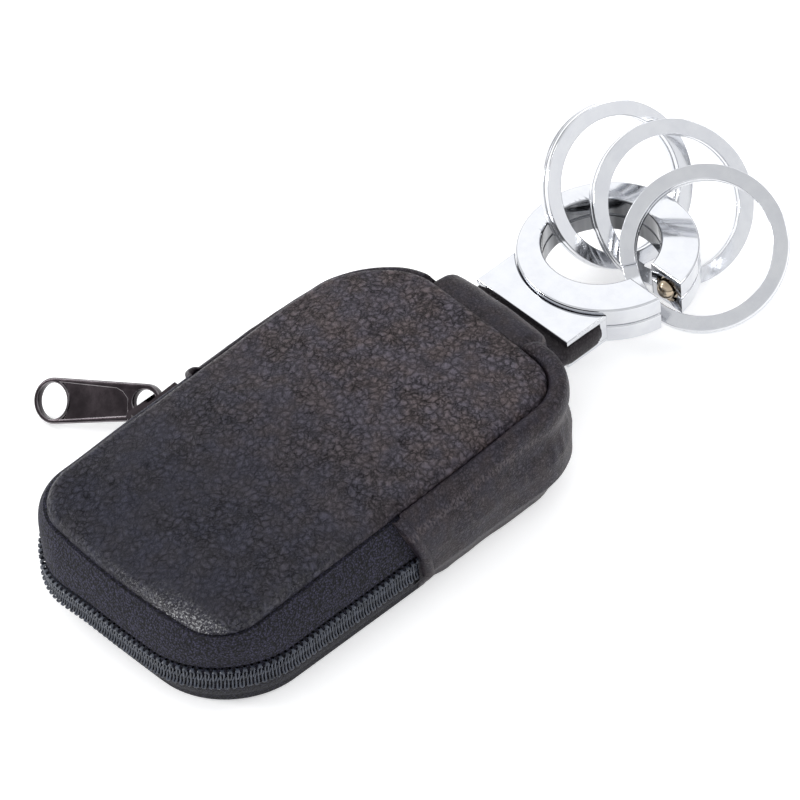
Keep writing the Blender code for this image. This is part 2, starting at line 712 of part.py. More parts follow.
def tab_piece():
    """The pull tab: two holes, and a shallow bare recess on each face."""
    bar = plate_face() + SOFT_GAP + BAIL_HEIGHT + BAIL_THICK / 2
    pivot = (-bar, SLIDER_CENTRE_Y + TAB_EYE_FORWARD, ZIP_MIDDLE)
    place = tab_matrix()
    half = TAB_THICK / 2
    mesh = prism("pull_tab", tab_outline(TAB_END_RADIUS, TAB_NECK_RADIUS, 0, TAB_HOLE_PITCH), -half, half)
    mesh.transform(place)
    tab = add_object("pull_tab", mesh, GUNMETAL_FINISH, pivot)
    reach = half + CUT_OVERRUN
    for centre, along, across in ((0, TAB_EYE_ALONG, TAB_EYE_ACROSS),
                                  (TAB_HOLE_PITCH, TAB_HOLE_ALONG, TAB_HOLE_ACROSS)):
        hole = prism("tab_hole", oval(centre, along, across, EYE_SIDES), -reach, reach)
        hole.transform(place)
        cut(tab, hole)
    start = TAB_EYE_ALONG / 2 + TAB_RECESS_END_GAP
    end = TAB_HOLE_PITCH - TAB_HOLE_ALONG / 2 - TAB_RECESS_END_GAP
    wide, narrow = TAB_END_RADIUS - TAB_RIM, TAB_NECK_RADIUS - TAB_RIM
    shape = ((start, -narrow), (end, -wide), (end, wide), (start, narrow))
    for low, high in ((half - TAB_RECESS, reach), (-reach, TAB_RECESS - half)):
        recess = prism("tab_recess", shape, low, high)
        recess.transform(place)
        cut(tab, recess)


# The strap, its bracket and the C-ring.


def strap_hinge():
    """Where the strap bends between the case and the bracket: (y, z)."""
    return BRACKET_FRONT - STRAP_HINGE_FORWARD, STRAP_MIDDLE


def strap_section(line, low_x, high_x):
    """Loops across the strap along a line of (y, z, thickness) places."""
    loops = []
    for i, (y, z, thick) in enumerate(line):
        before, after = line[max(i - 1, 0)], line[min(i + 1, len(line) - 1)]
        along = Vector((0, after[0] - before[0], after[1] - before[1])).normalized()
        up = Vector((0, -along.z, along.y)) * (thick / 2)
        place = Vector((0, y, z))
        left, right = Vector((low_x, 0, 0)), Vector((high_x, 0, 0))
        loops.append([place + left - up, place + right - up, place + right + up, place + left + up])
    return loops


def strap_pieces():
    """A doubled strap: sewn in the top seam, over the rear edge and down to the bracket."""
    hinge_y, hinge_z = strap_hinge()
    gusset_face = ZIP_REAR + ZIP_REAR_BOW + GUSSET_STAND_OFF + LEATHER
    half = STRAP_THICK / 2
    down_y = gusset_face + STRAP_STAND_OFF + half
    top_z = SEAM_HEIGHT_REAR - half + STRAP_RISE
    start_y = SEAM_REAR + SEAM_REAR_BOW + SOFT_GAP
    line = [(start_y, top_z, STRAP_THICK)]
    turn_y, turn_z = down_y - STRAP_BEND_RADIUS, top_z - STRAP_BEND_RADIUS
    for i in range(STRAP_BEND_STEPS + 1):
        angle = math.pi / 2 * (1 - i / STRAP_BEND_STEPS)
        line.append((turn_y + STRAP_BEND_RADIUS * math.cos(angle),
                     turn_z + STRAP_BEND_RADIUS * math.sin(angle), STRAP_THICK))
    end = half + STRAP_HINGE_GAP
    line.append((down_y, hinge_z + end + half, STRAP_THICK))
    line.append((mix(down_y, hinge_y, STRAP_TIP_SHARE), hinge_z + end * STRAP_TIP_DROP, STRAP_THICK))
    loop = loft("strap_loop", strap_section(line, -STRAP_HALF_WIDTH, STRAP_HALF_WIDTH))
    strap = add_object("strap_loop", loop, LEATHER_FINISH)
    reach = STRAP_HALF_WIDTH + CUT_OVERRUN
    cut(strap, cylinder("strap_relief", (-reach, hinge_y, hinge_z), (reach, hinge_y, hinge_z), end, BORE_SIDES))
    tongue_piece(hinge_y, hinge_z)


def arc_points(radius, half_width, steps):
    """Points of the arc about the C-ring's middle that faces the case, from -X to +X."""
    sweep = math.asin(half_width / radius)
    points = []
    for i in range(steps + 1):
        angle = mix(-sweep, sweep, i / steps)
        points.append((radius * math.sin(angle), RING_CENTRE_Y - radius * math.cos(angle)))
    return points


def tongue_piece(hinge_y, hinge_z):
    """The strap's end in the bracket, with a round nose on the bend and a hole for each post."""
    half = STRAP_THICK / 2
    radius = RING_RADIUS + SEAT_GAP + BRACKET_WALL + SEAT_GAP
    edge = arc_points(radius, STRAP_HALF_WIDTH, ARC_STEPS)
    shape = [(-STRAP_HALF_WIDTH, hinge_y), (STRAP_HALF_WIDTH, hinge_y), *reversed(edge)]
    pivot = (0, hinge_y, hinge_z)
    mesh = prism("strap_tongue", shape, hinge_z - half, hinge_z + half)
    tongue = add_object("strap_tongue", mesh, LEATHER_FINISH, pivot)
    side = STRAP_HALF_WIDTH
    nose = cylinder("tongue_nose", (-side, hinge_y, hinge_z), (side, hinge_y, hinge_z), half, BORE_SIDES)
    cut(tongue, nose, "UNION")
    reach = half + CUT_OVERRUN
    for x in (-POST_X, POST_X):
        hole = cylinder("post_hole", (x, POST_Y, hinge_z - reach), (x, POST_Y, hinge_z + reach),
                        POST_RADIUS + POST_CLEARANCE, PIN_SIDES)
        cut(tongue, hole)


def bracket_pieces():
    """A flat channel that takes the strap, hollowed behind to seat on the C-ring's rim."""
    pivot = (0, *strap_hinge())
    seat = RING_RADIUS + SEAT_GAP
    front = [(-BRACKET_HALF_WIDTH, BRACKET_FRONT), (BRACKET_HALF_WIDTH, BRACKET_FRONT)]
    outer = front + list(reversed(arc_points(seat, BRACKET_HALF_WIDTH, ARC_STEPS)))
    mesh = prism("bracket", outer, BRACKET_BOTTOM, BRACKET_TOP, BRACKET_EDGE)
    bracket = add_object("bracket", mesh, CHROME_FINISH, pivot)
    wide = BRACKET_HALF_WIDTH + CUT_OVERRUN
    mouth = [(-wide, BRACKET_FRONT - CUT_OVERRUN), (wide, BRACKET_FRONT - CUT_OVERRUN)]
    slot = mouth + list(reversed(arc_points(seat + BRACKET_WALL, wide, ARC_STEPS)))
    cut(bracket, prism("slot", slot, BRACKET_BOTTOM + BRACKET_PLATE, BRACKET_TOP - BRACKET_PLATE))
    back = RING_CENTRE_Y - seat
    low = RING_MIDDLE - TENON_THICK / 2
    tenon = block("tenon", (-TENON_HALF_WIDTH, back - BRACKET_WALL / 2, low),
                  (TENON_HALF_WIDTH, back + SEAT_GAP + TENON_LENGTH, low + TENON_THICK))
    cut(bracket, tenon, "UNION")
    low = BRACKET_BOTTOM + BRACKET_PLATE + SEAT_GAP
    high = BRACKET_TOP - BRACKET_PLATE - SEAT_GAP
    for name, x in (("clamp_post_left", -POST_X), ("clamp_post_right", POST_X)):
        post = cylinder(name, (x, POST_Y, low), (x, POST_Y, high), POST_RADIUS, PIN_SIDES)
        add_object(name, post, STEEL_FINISH, pivot)


def gate_outline(inset):
    """The C-ring's plan: an outer circle, an off-centre hole and a gate on the +X side."""
    outer, hole = RING_RADIUS - inset, RING_HOLE_RADIUS + inset
    near, far = -GATE_NEAR - inset, GATE_FAR + inset

    def arc(radius, shift, start_y, end_y, backwards):
        begin = math.asin(start_y / radius)
        finish_at = math.tau + math.asin(end_y / radius)
        points = []
        for i in range(RING_STEPS + 1):
            angle = mix(begin, finish_at, i / RING_STEPS)
            points.append((shift + radius * math.cos(angle), RING_CENTRE_Y + radius * math.sin(angle)))
        return points[::-1] if backwards else points

    return arc(outer, 0, far, near, False) + arc(hole, -RING_HOLE_OFFSET, far, near, True)


def half_ring(name, parting, face, pivot):
    """One half of the C-ring, from the parting plane to its rounded outer edge."""
    away = math.copysign(1, face - parting)
    loops = []
    for inset, z in ((0, parting), (0, face - away * RING_EDGE),
                     (RING_EDGE * ROUND_SHARE, face - away * RING_EDGE * ROUND_SHARE), (RING_EDGE, face)):
        loops.append([Vector((x, y, z)) for x, y in gate_outline(inset)])
    return add_object(name, loft(name, loops), CHROME_FINISH, pivot)


def bore_place(depth):
    """A point on the plunger's bore, depth inwards from the far arm's end face."""
    start_x = (math.sqrt(RING_RADIUS**2 - GATE_FAR**2)
               + math.sqrt(RING_HOLE_RADIUS**2 - GATE_FAR**2) - RING_HOLE_OFFSET) / 2
    mouth = Vector((start_x, RING_CENTRE_Y + GATE_FAR, RING_MIDDLE))
    return mouth + Vector((0, depth, 0))


def band_middle(angle):
    """The middle of the C-ring's band at an angle about the ring's centre."""
    across = RING_HOLE_OFFSET * math.sin(angle)
    hole = -RING_HOLE_OFFSET * math.cos(angle) + math.sqrt(RING_HOLE_RADIUS**2 - across**2)
    radius = (RING_RADIUS + hole) / 2
    return radius * math.cos(angle), RING_CENTRE_Y + radius * math.sin(angle)


def ring_pieces():
    """Two half rings held by pins, with a sprung ball plunger in the far arm's end."""
    pivot = (0, *strap_hinge())
    gap = RING_PARTING / 2
    halves = [half_ring("c_ring_upper", RING_MIDDLE + gap, RING_TOP, pivot),
              half_ring("c_ring_lower", RING_MIDDLE - gap, RING_BOTTOM, pivot)]
    rim = RING_CENTRE_Y - RING_RADIUS
    pocket_low = RING_MIDDLE - TENON_THICK / 2 - SEAT_GAP
    wide = TENON_HALF_WIDTH + SEAT_GAP
    for half in halves:
        pocket = block("pocket", (-wide, rim - CUT_OVERRUN, pocket_low),
                       (wide, rim + TENON_LENGTH + SEAT_GAP, pocket_low + TENON_THICK + SEAT_GAP * 2))
        cut(half, pocket)
        for start, end, radius in ((-CUT_OVERRUN, LIP_DEPTH * 2, LIP_RADIUS),
                                   (LIP_DEPTH, BORE_DEPTH, BORE_RADIUS),
                                   (LIP_DEPTH * 2, SPRING_BORE_DEPTH, SPRING_BORE_RADIUS)):
            cut(half, cylinder("bore", bore_place(start), bore_place(end), radius, BORE_SIDES))
        for angle in PIN_ANGLES:
            x, y = band_middle(angle)
            reach = PIN_LENGTH / 2 + PIN_CLEARANCE
            cut(half, cylinder("pin_hole", (x, y, RING_MIDDLE - reach), (x, y, RING_MIDDLE + reach),
                               PIN_RADIUS + PIN_CLEARANCE, PIN_SIDES))
    for name, angle in zip(("ring_pin_rear", "ring_pin_left"), PIN_ANGLES):
        x, y = band_middle(angle)
        pin = cylinder(name, (x, y, RING_MIDDLE - PIN_LENGTH / 2), (x, y, RING_MIDDLE + PIN_LENGTH / 2),
                       PIN_RADIUS, PIN_SIDES)
        add_object(name, pin, STEEL_FINISH, pivot)
    plunger_pieces(pivot)


def plunger_pieces(pivot):
    """A ball with a collar behind the bore's lip, and the coil spring that presses it out."""
    centre = bore_place(BALL_SINK)
    inward = Vector((0, 1, 0))
    turn = inward.to_track_quat("Z", "Y").to_matrix()
    collar_end = COLLAR_START + COLLAR_LENGTH
    neck = math.asin((COLLAR_START - BALL_SINK) / BALL_RADIUS)
    profile = []
    for i in range(BALL_STEPS + 1):
        angle = mix(-math.pi / 2, neck, i / BALL_STEPS)
        profile.append((BALL_RADIUS * math.cos(angle), BALL_SINK + BALL_RADIUS * math.sin(angle)))
    profile += [(COLLAR_RADIUS, COLLAR_START), (COLLAR_RADIUS, collar_end), (0, collar_end)]
    bm = bmesh.new()
    verts = [bm.verts.new(bore_place(0) + turn @ Vector((r, 0, z))) for r, z in profile]
    edges = [bm.edges.new(pair) for pair in zip(verts, verts[1:])]
    bmesh.ops.spin(bm, geom=verts + edges, cent=bore_place(0), axis=inward, angle=math.tau,
                   steps=BORE_SIDES, use_merge=True)
    bmesh.ops.remove_doubles(bm, verts=bm.verts, dist=MERGE_DISTANCE)
    add_object("ball_plunger", mesh_from(bm, "ball_plunger"), BRONZE_FINISH, centre)
    add_object("plunger_spring", spring_mesh(turn, collar_end), STEEL_FINISH, pivot)


def spring_mesh(turn, start):
    """A round coil between the collar and the end of the bore."""
    radius = SPRING_BORE_RADIUS - SPRING_CLEARANCE - SPRING_WIRE / 2
    first = start + SPRING_CLEARANCE + SPRING_WIRE / 2
    last = SPRING_BORE_DEPTH - SPRING_CLEARANCE - SPRING_WIRE / 2
    loops = []
    steps = SPRING_STEPS * SPRING_TURNS
    for i in range(steps + 1):
        angle = math.tau * SPRING_TURNS * i / steps
        out = Vector((math.cos(angle), math.sin(angle), 0))
        place = out * radius + Vector((0, 0, mix(first, last, i / steps)))
        loop = []
        for side in circle_angles(SPRING_SIDES):
            wire = out * math.cos(side) + Vector((0, 0, math.sin(side)))
            loop.append(bore_place(0) + turn @ (place + wire * (SPRING_WIRE / 2)))
        loops.append(loop)
    return loft("plunger_spring", loops)


# The split key rings.


def key_ring(name, centre, face, start):
    """A flat split ring: two turns of flat wire, with a jog where one turn climbs to the next."""
    turn = Vector(face).to_track_quat("Z", "Y").to_matrix()
    inner, outer = KEY_RING_RADIUS - KEY_RING_BAND, KEY_RING_RADIUS
    layer = (KEY_RING_WIRE + KEY_RING_GAP) / 2
    half = KEY_RING_WIRE / 2
    whole = 2 * math.tau - 2 * KEY_RING_END
    steps = 2 * KEY_RING_STEPS
    angles = [KEY_RING_END + whole * i / steps for i in range(steps + 1)]
    angles += [math.tau + KEY_RING_JOG * share for share in (-1, 1)]
    loops = []
    for angle in sorted(angles):
        climb = min(max((angle - math.tau) / KEY_RING_JOG, -1), 1)
        height = layer * math.sin(climb * math.pi / 2)
        out = Vector((math.cos(start + angle), math.sin(start + angle), 0))
        corners = ((inner, -half), (outer, -half), (outer, half), (inner, half))
        loops.append([Vector(centre) + turn @ (out * r + Vector((0, 0, height + z))) for r, z in corners])
    add_object(name, loft(name, loops), NICKEL_FINISH, centre)


def key_rings():
    rows = (("key_ring_1", KEY_RING_1_SEAT, KEY_RING_1_SHARES, KEY_RING_1_FACE, KEY_RING_1_START),
            ("key_ring_2", KEY_RING_2_SEAT, KEY_RING_2_SHARES, KEY_RING_2_FACE, KEY_RING_2_START),
            ("key_ring_3", KEY_RING_3_SEAT, KEY_RING_3_SHARES, KEY_RING_3_FACE, KEY_RING_3_START))
    for name, seat, shares, face, start in rows:
        rim = Vector((math.cos(seat), math.sin(seat), 0)) * RING_RADIUS
        centre = Vector((0, RING_CENTRE_Y, RING_MIDDLE)) + rim + Vector(shares) * KEY_RING_RADIUS
        key_ring(name, centre, face, start)


def main():
    clear_scene()
    base_pieces()
    top_pieces()
    tape_pieces()
    chain_piece("zip_coil_upper", 1)
    chain_piece("zip_coil_lower", -1)
    gusset_piece()
    slider_pieces()
    strap_pieces()
    bracket_pieces()
    ring_pieces()
    key_rings()


main()
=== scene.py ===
"""The looks of a zip key wallet: leather case, zip, strap, chrome C-ring and split key rings.

Lengths are in metres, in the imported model's frame: +X right, +Y towards the key rings, +Z up.
"""

import math

import bmesh
import bpy
import numpy as np
from mathutils import Matrix, Vector, noise


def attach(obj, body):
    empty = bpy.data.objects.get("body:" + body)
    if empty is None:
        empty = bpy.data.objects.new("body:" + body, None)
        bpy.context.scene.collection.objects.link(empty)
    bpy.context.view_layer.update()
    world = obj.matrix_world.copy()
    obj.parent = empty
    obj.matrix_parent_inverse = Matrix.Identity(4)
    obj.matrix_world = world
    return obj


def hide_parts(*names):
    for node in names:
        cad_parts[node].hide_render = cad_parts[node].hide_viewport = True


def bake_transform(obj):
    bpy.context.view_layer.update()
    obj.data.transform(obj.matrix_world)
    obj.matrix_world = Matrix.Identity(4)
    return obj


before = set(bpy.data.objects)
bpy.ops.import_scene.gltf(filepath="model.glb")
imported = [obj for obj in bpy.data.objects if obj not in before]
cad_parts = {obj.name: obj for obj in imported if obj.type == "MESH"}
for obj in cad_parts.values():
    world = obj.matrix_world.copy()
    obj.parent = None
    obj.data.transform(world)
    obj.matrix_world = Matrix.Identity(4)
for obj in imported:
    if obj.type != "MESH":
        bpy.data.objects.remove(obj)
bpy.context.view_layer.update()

# Case outlines: right, left, front and rear reach, then the corner radii (front right, front left,
# rear left, rear right), then the front and rear bow. The soft case stands a little askew.
BASE_SIZES = (0.0221, 0.0221, 0.0348, 0.0343, 0.0130, 0.0148, 0.0120, 0.0099, 0.0006, 0.0006)
ZIP_SIZES = (0.0232, 0.0232, 0.0361, 0.0358, 0.0139, 0.0142, 0.0125, 0.0098, 0.0010, 0.0006)
SEAM_SIZES = (0.0210, 0.0201, 0.0330, 0.0328, 0.0064, 0.0066, 0.0104, 0.0060, 0.0018, 0.0012)
# At the seam the soft rear left side leans in, and its rear edge out. The zip dips at the front left.
LEFT_LEAN = 0.0019
REAR_SKEW = 0.0004
ZIP_DIP = 0.0013
# The share by which the base is narrower at the rear.
REAR_TUCK = 0.022
BASE_SEAM_HEIGHT = 0.0016
ZIP_LOW = 0.0049
ZIP_HIGH = 0.0091
SEAM_HEIGHT_FRONT = 0.0151
SEAM_HEIGHT_REAR = 0.0177
SIDE_STEPS = 44
CORNER_STEPS = 34
END_STEPS = 56
QUARTER = math.pi / 2
RUN = 2 * SIDE_STEPS + 2 * CORNER_STEPS + END_STEPS

# Top panel.
LEATHER = 0.0012
PANEL_EDGE_RISE = 0.0017
PANEL_EDGE_RADIUS = 0.0014
PANEL_DOME = 0.0015
PANEL_RIM_DEPTH = 0.0003
PANEL_RIM_STEPS = 9
PANEL_DOME_STEPS = 56
SOFT_GAP = 0.0003
PADDING_INSET = 0.0022
PADDING_EDGE = 0.0008
LINING = 0.0004
LINING_STEPS = 12

# Base.
BASE_CORNER = 0.0014
BASE_CORNER_STEPS = 6
BOARD = 0.0008
BOARD_INSET = 0.0014

# Zip.
TAPE = 0.0005
TAPE_TUCK = 0.0032
TAPE_BULGE = 0.00045
LEFT_BULGE = 0.0019
TOOTH_PITCH = 0.00104
TOOTH_WIDTH = 0.00082
TOOTH_WIRE = 0.00030
TOOTH_STAND = 0.00085
TOOTH_REACH = 0.00036
TOOTH_SLANT = 0.00016
TOOTH_END_GAP = 0.00030
CHAIN_TUCK = 0.0014

# Gusset.
GUSSET_FOLD = 0.0007
GUSSET_FOLD_LENGTH = 0.0017
GUSSET_LEAN_TOP = -0.0014
GUSSET_LEAN_BASE = 0.0018
GUSSET_LEAN_BOW = 0.0009

# Strap.
STRAP_HALF_WIDTH = 0.0090
STRAP_THICK = 0.0026
STRAP_EDGE = 0.0011
STRAP_FOLD_RADIUS = 0.0027
STRAP_TURN_RADIUS = 0.0026
STRAP_DROOP = 0.0004
STRAP_SLOT = 0.00325
# How much wider the strap is than its half width: its slack right side, and each side in the slot.
STRAP_RIGHT = 1.15
STRAP_SLOT_WIDTHS = (1.075, 1.145)
STRAP_TOP_Z = 0.0162
STRAP_DOWN_Y = 0.0391
STRAP_MIDDLE = 0.00795

# C-ring and bracket.
RING_CENTRE = Vector((0, 0.0615, 0.0082))
RING_RADIUS = 0.0135
RING_HOLE_RADIUS = 0.0088
RING_HOLE_OFFSET = 0.0014
RING_THICK = 0.0064
RING_PARTING = 0.0001
RING_EDGE = 0.00035
GATE_NEAR = 0.0023
GATE_FAR = 0.0018
BRACKET_HALF_WIDTH = 0.00955
BRACKET_FRONT = 0.0440
BRACKET_BOTTOM = 0.0053
BRACKET_TOP = 0.0106
BRACKET_PLATE = 0.0010
BRACKET_WALL = 0.0009
BRACKET_EDGE = 0.00024
SEAT_GAP = 0.0003
BORE_RADIUS = 0.0022
BORE_DEPTH = 0.0024
BALL_RADIUS = 0.0016
BALL_SINK = 0.0002
COLLAR_RADIUS = 0.0020
COLLAR_START = 0.0008
COLLAR_LENGTH = 0.0008

# Key rings: centre, face, and the angle in degrees where the wire starts.
KEY_RING_RADIUS = 0.0125
KEY_RING_BAND = 0.0023
KEY_RING_WIRE = 0.0011
KEY_RING_GAP = 0.0002
KEY_RING_EDGE = 0.00016
KEY_RING_END = math.radians(15.0)
KEY_RING_JOG = math.radians(11.0)
KEY_RING_STEPS = 320
KEY_RINGS = {
    "key_ring_1": ((-0.00778, 0.07092, 0.01187), (0.8299, -0.0506, 0.5556), 250),
    "key_ring_2": ((-0.00056, 0.07502, 0.00991), (0.6921, -0.1782, 0.6995), 235),
    "key_ring_3": ((0.01045, 0.07106, 0.01097), (0.3042, -0.4705, 0.8283), 215),
}

# Pull tab.
TAB_PITCH = 0.0155
TAB_END_RADIUS = 0.0034
TAB_NECK_RADIUS = 0.0027
TAB_THICK = 0.0014
TAB_EDGE = 0.00028
TAB_RIM = 0.0008
TAB_RECESS = 0.00022
TAB_HOLE = (0.0049, 0.0053)
TAB_HOLE_SHIFT = 0.0002
TAB_HOLE_LIP = 0.0005
TAB_EYE = (0.0040, 0.0037)
TAB_EYE_PLACE = Vector((-0.02838, -0.0042, 0.00742))
TAB_SWING = math.radians(25.5)
TAB_DROOP = math.radians(16.6)
TAB_ROLL = math.radians(43.2)

LIGHT_AIM = Vector((0.0, 0.03, 0.0))
LIGHT_DISTANCE = 0.60
FLOOR_REACH = 1.5

# Camera, solved from the photograph's outlines.
CAMERA_AZIMUTH = math.radians(50.55)
CAMERA_ELEVATION = math.radians(45.77)
CAMERA_ROLL = math.radians(-5.02)
CAMERA_DISTANCE = 1.16578
CAMERA_TARGET = Vector((-0.00765, 0.02605, 0.0))
CAMERA_LENS = 360.0
CAMERA_SENSOR = 36.0


# Materials.


class Nodes:
    """A short way to write the node tree of a material, or of the world with the shader Background."""

    def __init__(self, owner, shader="Principled BSDF"):
        self.owner = owner
        owner.use_nodes = True
        self.tree = owner.node_tree
        self.shader = self.tree.nodes[shader]

    def add(self, kind, **values):
        node = self.tree.nodes.new(kind)
        for key, value in values.items():
            if key in node.inputs:
                self.feed(node.inputs[key], value)
            else:
                setattr(node, key, value)
        return node

    def feed(self, socket, value):
        if isinstance(value, bpy.types.NodeSocket):
            self.tree.links.new(value, socket)
        else:
            socket.default_value = value

    def place(self, scale):
        """Object coordinates in units of the given length."""
        return self.scaled(self.add("ShaderNodeTexCoord").outputs["Object"], 1 / scale)

    def grain(self, scale):
        """The rest place kept on a soft piece, in units of the given length."""
        kept = self.add("ShaderNodeAttribute", attribute_name="grain")
        return self.scaled(kept.outputs["Vector"], 1 / scale)

    def scaled(self, vector, factor):
        return self.fed(self.add("ShaderNodeVectorMath", operation="SCALE", Scale=factor), [vector])

    def fed(self, node, values):
        for socket, value in zip(node.inputs, values):
            self.feed(socket, value)
        return node.outputs[0]

    def vector(self, kind, *values):
        return self.fed(self.add("ShaderNodeVectorMath", operation=kind), values)

    def split(self, vector):
        return self.add("ShaderNodeSeparateXYZ", Vector=vector).outputs[:3]

    def noise(self, place, scale=1.0, detail=2.0, rough=0.5):
        return self.add("ShaderNodeTexNoise", Vector=place, Scale=scale, Detail=detail,
                        Roughness=rough).outputs["Fac"]

    def stirred(self, start, place, scale, detail, amount):
        """The vector start, moved by a noise at the place."""
        made = self.add("ShaderNodeTexNoise", Vector=place, Scale=scale, Detail=detail)
        return self.vector("MULTIPLY_ADD", made.outputs["Color"], (amount, amount, amount), start)

    def math(self, kind, *values):
        return self.fed(self.add("ShaderNodeMath", operation=kind), values)

    def times(self, first, *others):
        for other in others:
            first = self.math("MULTIPLY", first, other)
        return first

    def minus(self, first, second):
        return self.math("SUBTRACT", first, second)

    def times_plus(self, value, factor, extra):
        return self.math("MULTIPLY_ADD", value, factor, extra)

    def span(self, value, low, high, to_low=0.0, to_high=1.0):
        """An eased step from to_low to to_high, between two values."""
        made = self.add("ShaderNodeMapRange", interpolation_type="SMOOTHSTEP")
        return self.fed(made, (value, low, high, to_low, to_high))

    def blend(self, share, first, second):
        made = self.add("ShaderNodeMix", data_type="RGBA")
        for index, value in ((0, share), (6, first), (7, second)):
            self.feed(made.inputs[index], (*value, 1.0) if isinstance(value, tuple) else value)
        return made.outputs[2]

    def bump(self, height, distance, strength=1.0, before=None):
        made = self.add("ShaderNodeBump", Height=height, Distance=distance, Strength=strength)
        if before is not None:
            self.feed(made.inputs["Normal"], before)
        return made.outputs["Normal"]

    def finish(self, **values):
        for key, value in values.items():
            self.feed(self.shader.inputs[key.replace("_", " ")], value)
        return self.owner


def material(name):
    return Nodes(bpy.data.materials.new(name))


def painted_pucker_glints(made, colour, y, z):
    """Painted highlight: short pale dashes along the gusset's shoulder, where light catches its wrinkles."""
    line = made.minus(z, made.span(y, 0.002, 0.026, 0.0138, 0.0152))
    near = made.minus(1.0, made.span(made.math("ABSOLUTE", line), 0.0002, 0.0009))
    stretched = made.vector("MULTIPLY", made.grain(0.00030), (1.0, 1.0, 0.25))
    dash = made.span(made.noise(stretched), 0.44, 0.62)
    return made.blend(made.times(near, dash, 0.58), colour, (0.105, 0.088, 0.095))


def strap_painted_light(made, colour, place, y, z, edge):
    """A painted highlight along the fold's ridge, and painted shade from the place edge on into the bracket.
    """
    # Painted highlight: lighter specks along the ridge where the strap folds down.
    fold = made.times(made.span(y, 0.0380, 0.0396), made.span(z, 0.0138, 0.0152))
    painted_ridge_specks = made.span(made.noise(place, 1.2, 3.0), 0.40, 0.62)
    colour = made.blend(made.times(fold, painted_ridge_specks), colour, (0.125, 0.105, 0.105))
    # Painted shade: the strap darkens where it runs into the bracket's slot.
    return made.blend(made.span(y, edge, edge + 0.0020), colour, (0.0160, 0.0120, 0.0150))


def rim_masks(made, place, x, y, z):
    """The top panel's turned rim: where it is low, its polished specks, and pale front specks that are a
    painted highlight.
    """
    above_seam = made.times_plus(y, -0.0394, made.minus(z, 0.0013))
    low = made.span(above_seam, 0.0171, 0.0165)
    right = made.times(made.span(x, 0.0186, 0.0196), made.span(y, 0.004, -0.024, 0.0, 0.6))
    left = made.span(x, -0.0180, -0.0190, 0.0, 0.4)
    ahead = made.times(made.span(y, -0.0300, -0.0312), made.span(x, -0.004, 0.007, 0.35, 1.0))
    sides = made.math("MAXIMUM", ahead, made.math("MAXIMUM", left, right))
    specks = made.span(made.noise(place, 2.6, 3.0, 0.6), 0.40, 0.58)
    # Painted highlight: pale specks on the front rim where a lamp would glint.
    painted_glints = made.times(made.span(made.noise(place, 3.4, 3.0, 0.6), 0.53, 0.62),
                        made.span(x, 0.003, 0.012, 0.0, 0.9), low, made.span(y, -0.0306, -0.0318))
    return low, made.times(low, sides, specks), painted_glints


def leather(name, cell, depth, front, rear, even=0.0, coat=0.0, lines=0.0, edge=None, pucker_glints=False):
    """Pebbled leather: soft domes and fine wrinkles, stronger and warmer towards the rear.
    Its colour holds painted shade: the domes' middles lighter, the creases darker.

    Front and rear are its colours there, even strengthens the grain, lines draws its creases, and a
    coat goes with the polished rim of the panel, whose pale front specks are a painted highlight. Edge
    is where the strap's painted shade begins, and the last flag paints highlights on the gusset's wrinkles.
    """
    made = material(name)
    place = made.grain(cell)
    x, y, z = made.split(made.grain(1.0))
    where = made.stirred(made.stirred(place, place, 0.45, 2.0, 1.3), place, 1.9, 3.0, 0.65)
    along = made.span(y, -0.030, 0.022)
    patch = made.span(made.noise(place, 0.16), 0.34, 0.66)
    strong = made.times_plus(patch, 0.30, made.times_plus(along, 0.25, 0.52 + even))
    pores = made.noise(place, 5.0, 4.0, 0.65)
    lit = made.times(pores, 0.30)
    gaps = []
    for scale, reach, share in ((1.0, 0.50, 0.52), (2.1, 0.42, 0.36)):
        cells = made.add("ShaderNodeTexVoronoi", feature="DISTANCE_TO_EDGE", Vector=where, Scale=scale)
        gaps.append(cells.outputs["Distance"])
        lit = made.times_plus(made.math("POWER", made.span(gaps[-1], 0.0, reach), 0.95), share, lit)
    line = made.minus(1.0, made.span(gaps[0], 0.0, 0.050))
    broken = made.span(made.noise(place, 0.7, 3.0), 0.42, 0.62)
    crease = made.times(line, broken, lines, made.math("MINIMUM", strong, 0.85))
    relief = made.bump(made.times_plus(crease, -0.30, made.times(lit, strong)), depth)
    normal = made.bump(pores, depth * 0.15, before=relief)
    tone = made.blend(made.math("POWER", along, 1.5), front, rear)
    drift = made.span(made.noise(place, 0.30, 3.0), 0.35, 0.65)
    tinted = made.vector("MULTIPLY", tone, made.blend(drift, (0.94, 0.97, 1.12), (1.12, 1.01, 0.93)))
    uneven = made.minus(made.noise(place, 0.8, 3.0), 0.5)
    # Painted shade: the domes' middles are lighter and their edges darker, over a random uneven tone.
    level = made.times_plus(uneven, 0.5, made.minus(lit, 0.48))
    level = made.times_plus(level, made.times(strong, 0.9), 0.5)
    colour = made.blend(made.span(level, 0.0, 1.0), made.scaled(tinted, 0.15), made.scaled(tinted, 1.85))
    # Painted shade: the creases are darkened.
    colour = made.blend(made.times(crease, 0.42), colour, (0.003, 0.003, 0.0035))
    gloss = made.times_plus(made.span(level, 0.05, 0.95), 0.34, 0.125)
    gloss = made.times(gloss, made.times_plus(crease, -0.5, 1.0))
    rough = made.times_plus(crease, 0.4, made.span(pores, 0.3, 0.7, 0.38, 0.52))
    # Painted highlight on the gusset's shoulder wrinkles.
    if pucker_glints:
        colour = painted_pucker_glints(made, colour, y, z)
    if edge is not None:
        colour = strap_painted_light(made, colour, place, y, z, edge)
    if coat:
        low, polished, painted_glints = rim_masks(made, place, x, y, z)
        coat = made.times_plus(polished, 0.95, coat)
        # The rim's pale front specks are a painted highlight.
        colour = made.blend(painted_glints, colour, (0.30, 0.30, 0.31))
        rough = made.times_plus(low, 0.15, rough)
    return made.finish(Base_Color=colour, Roughness=rough, Normal=normal, Specular_IOR_Level=gloss,
                       Coat_Weight=coat, Coat_Roughness=0.16, Coat_Normal=normal)


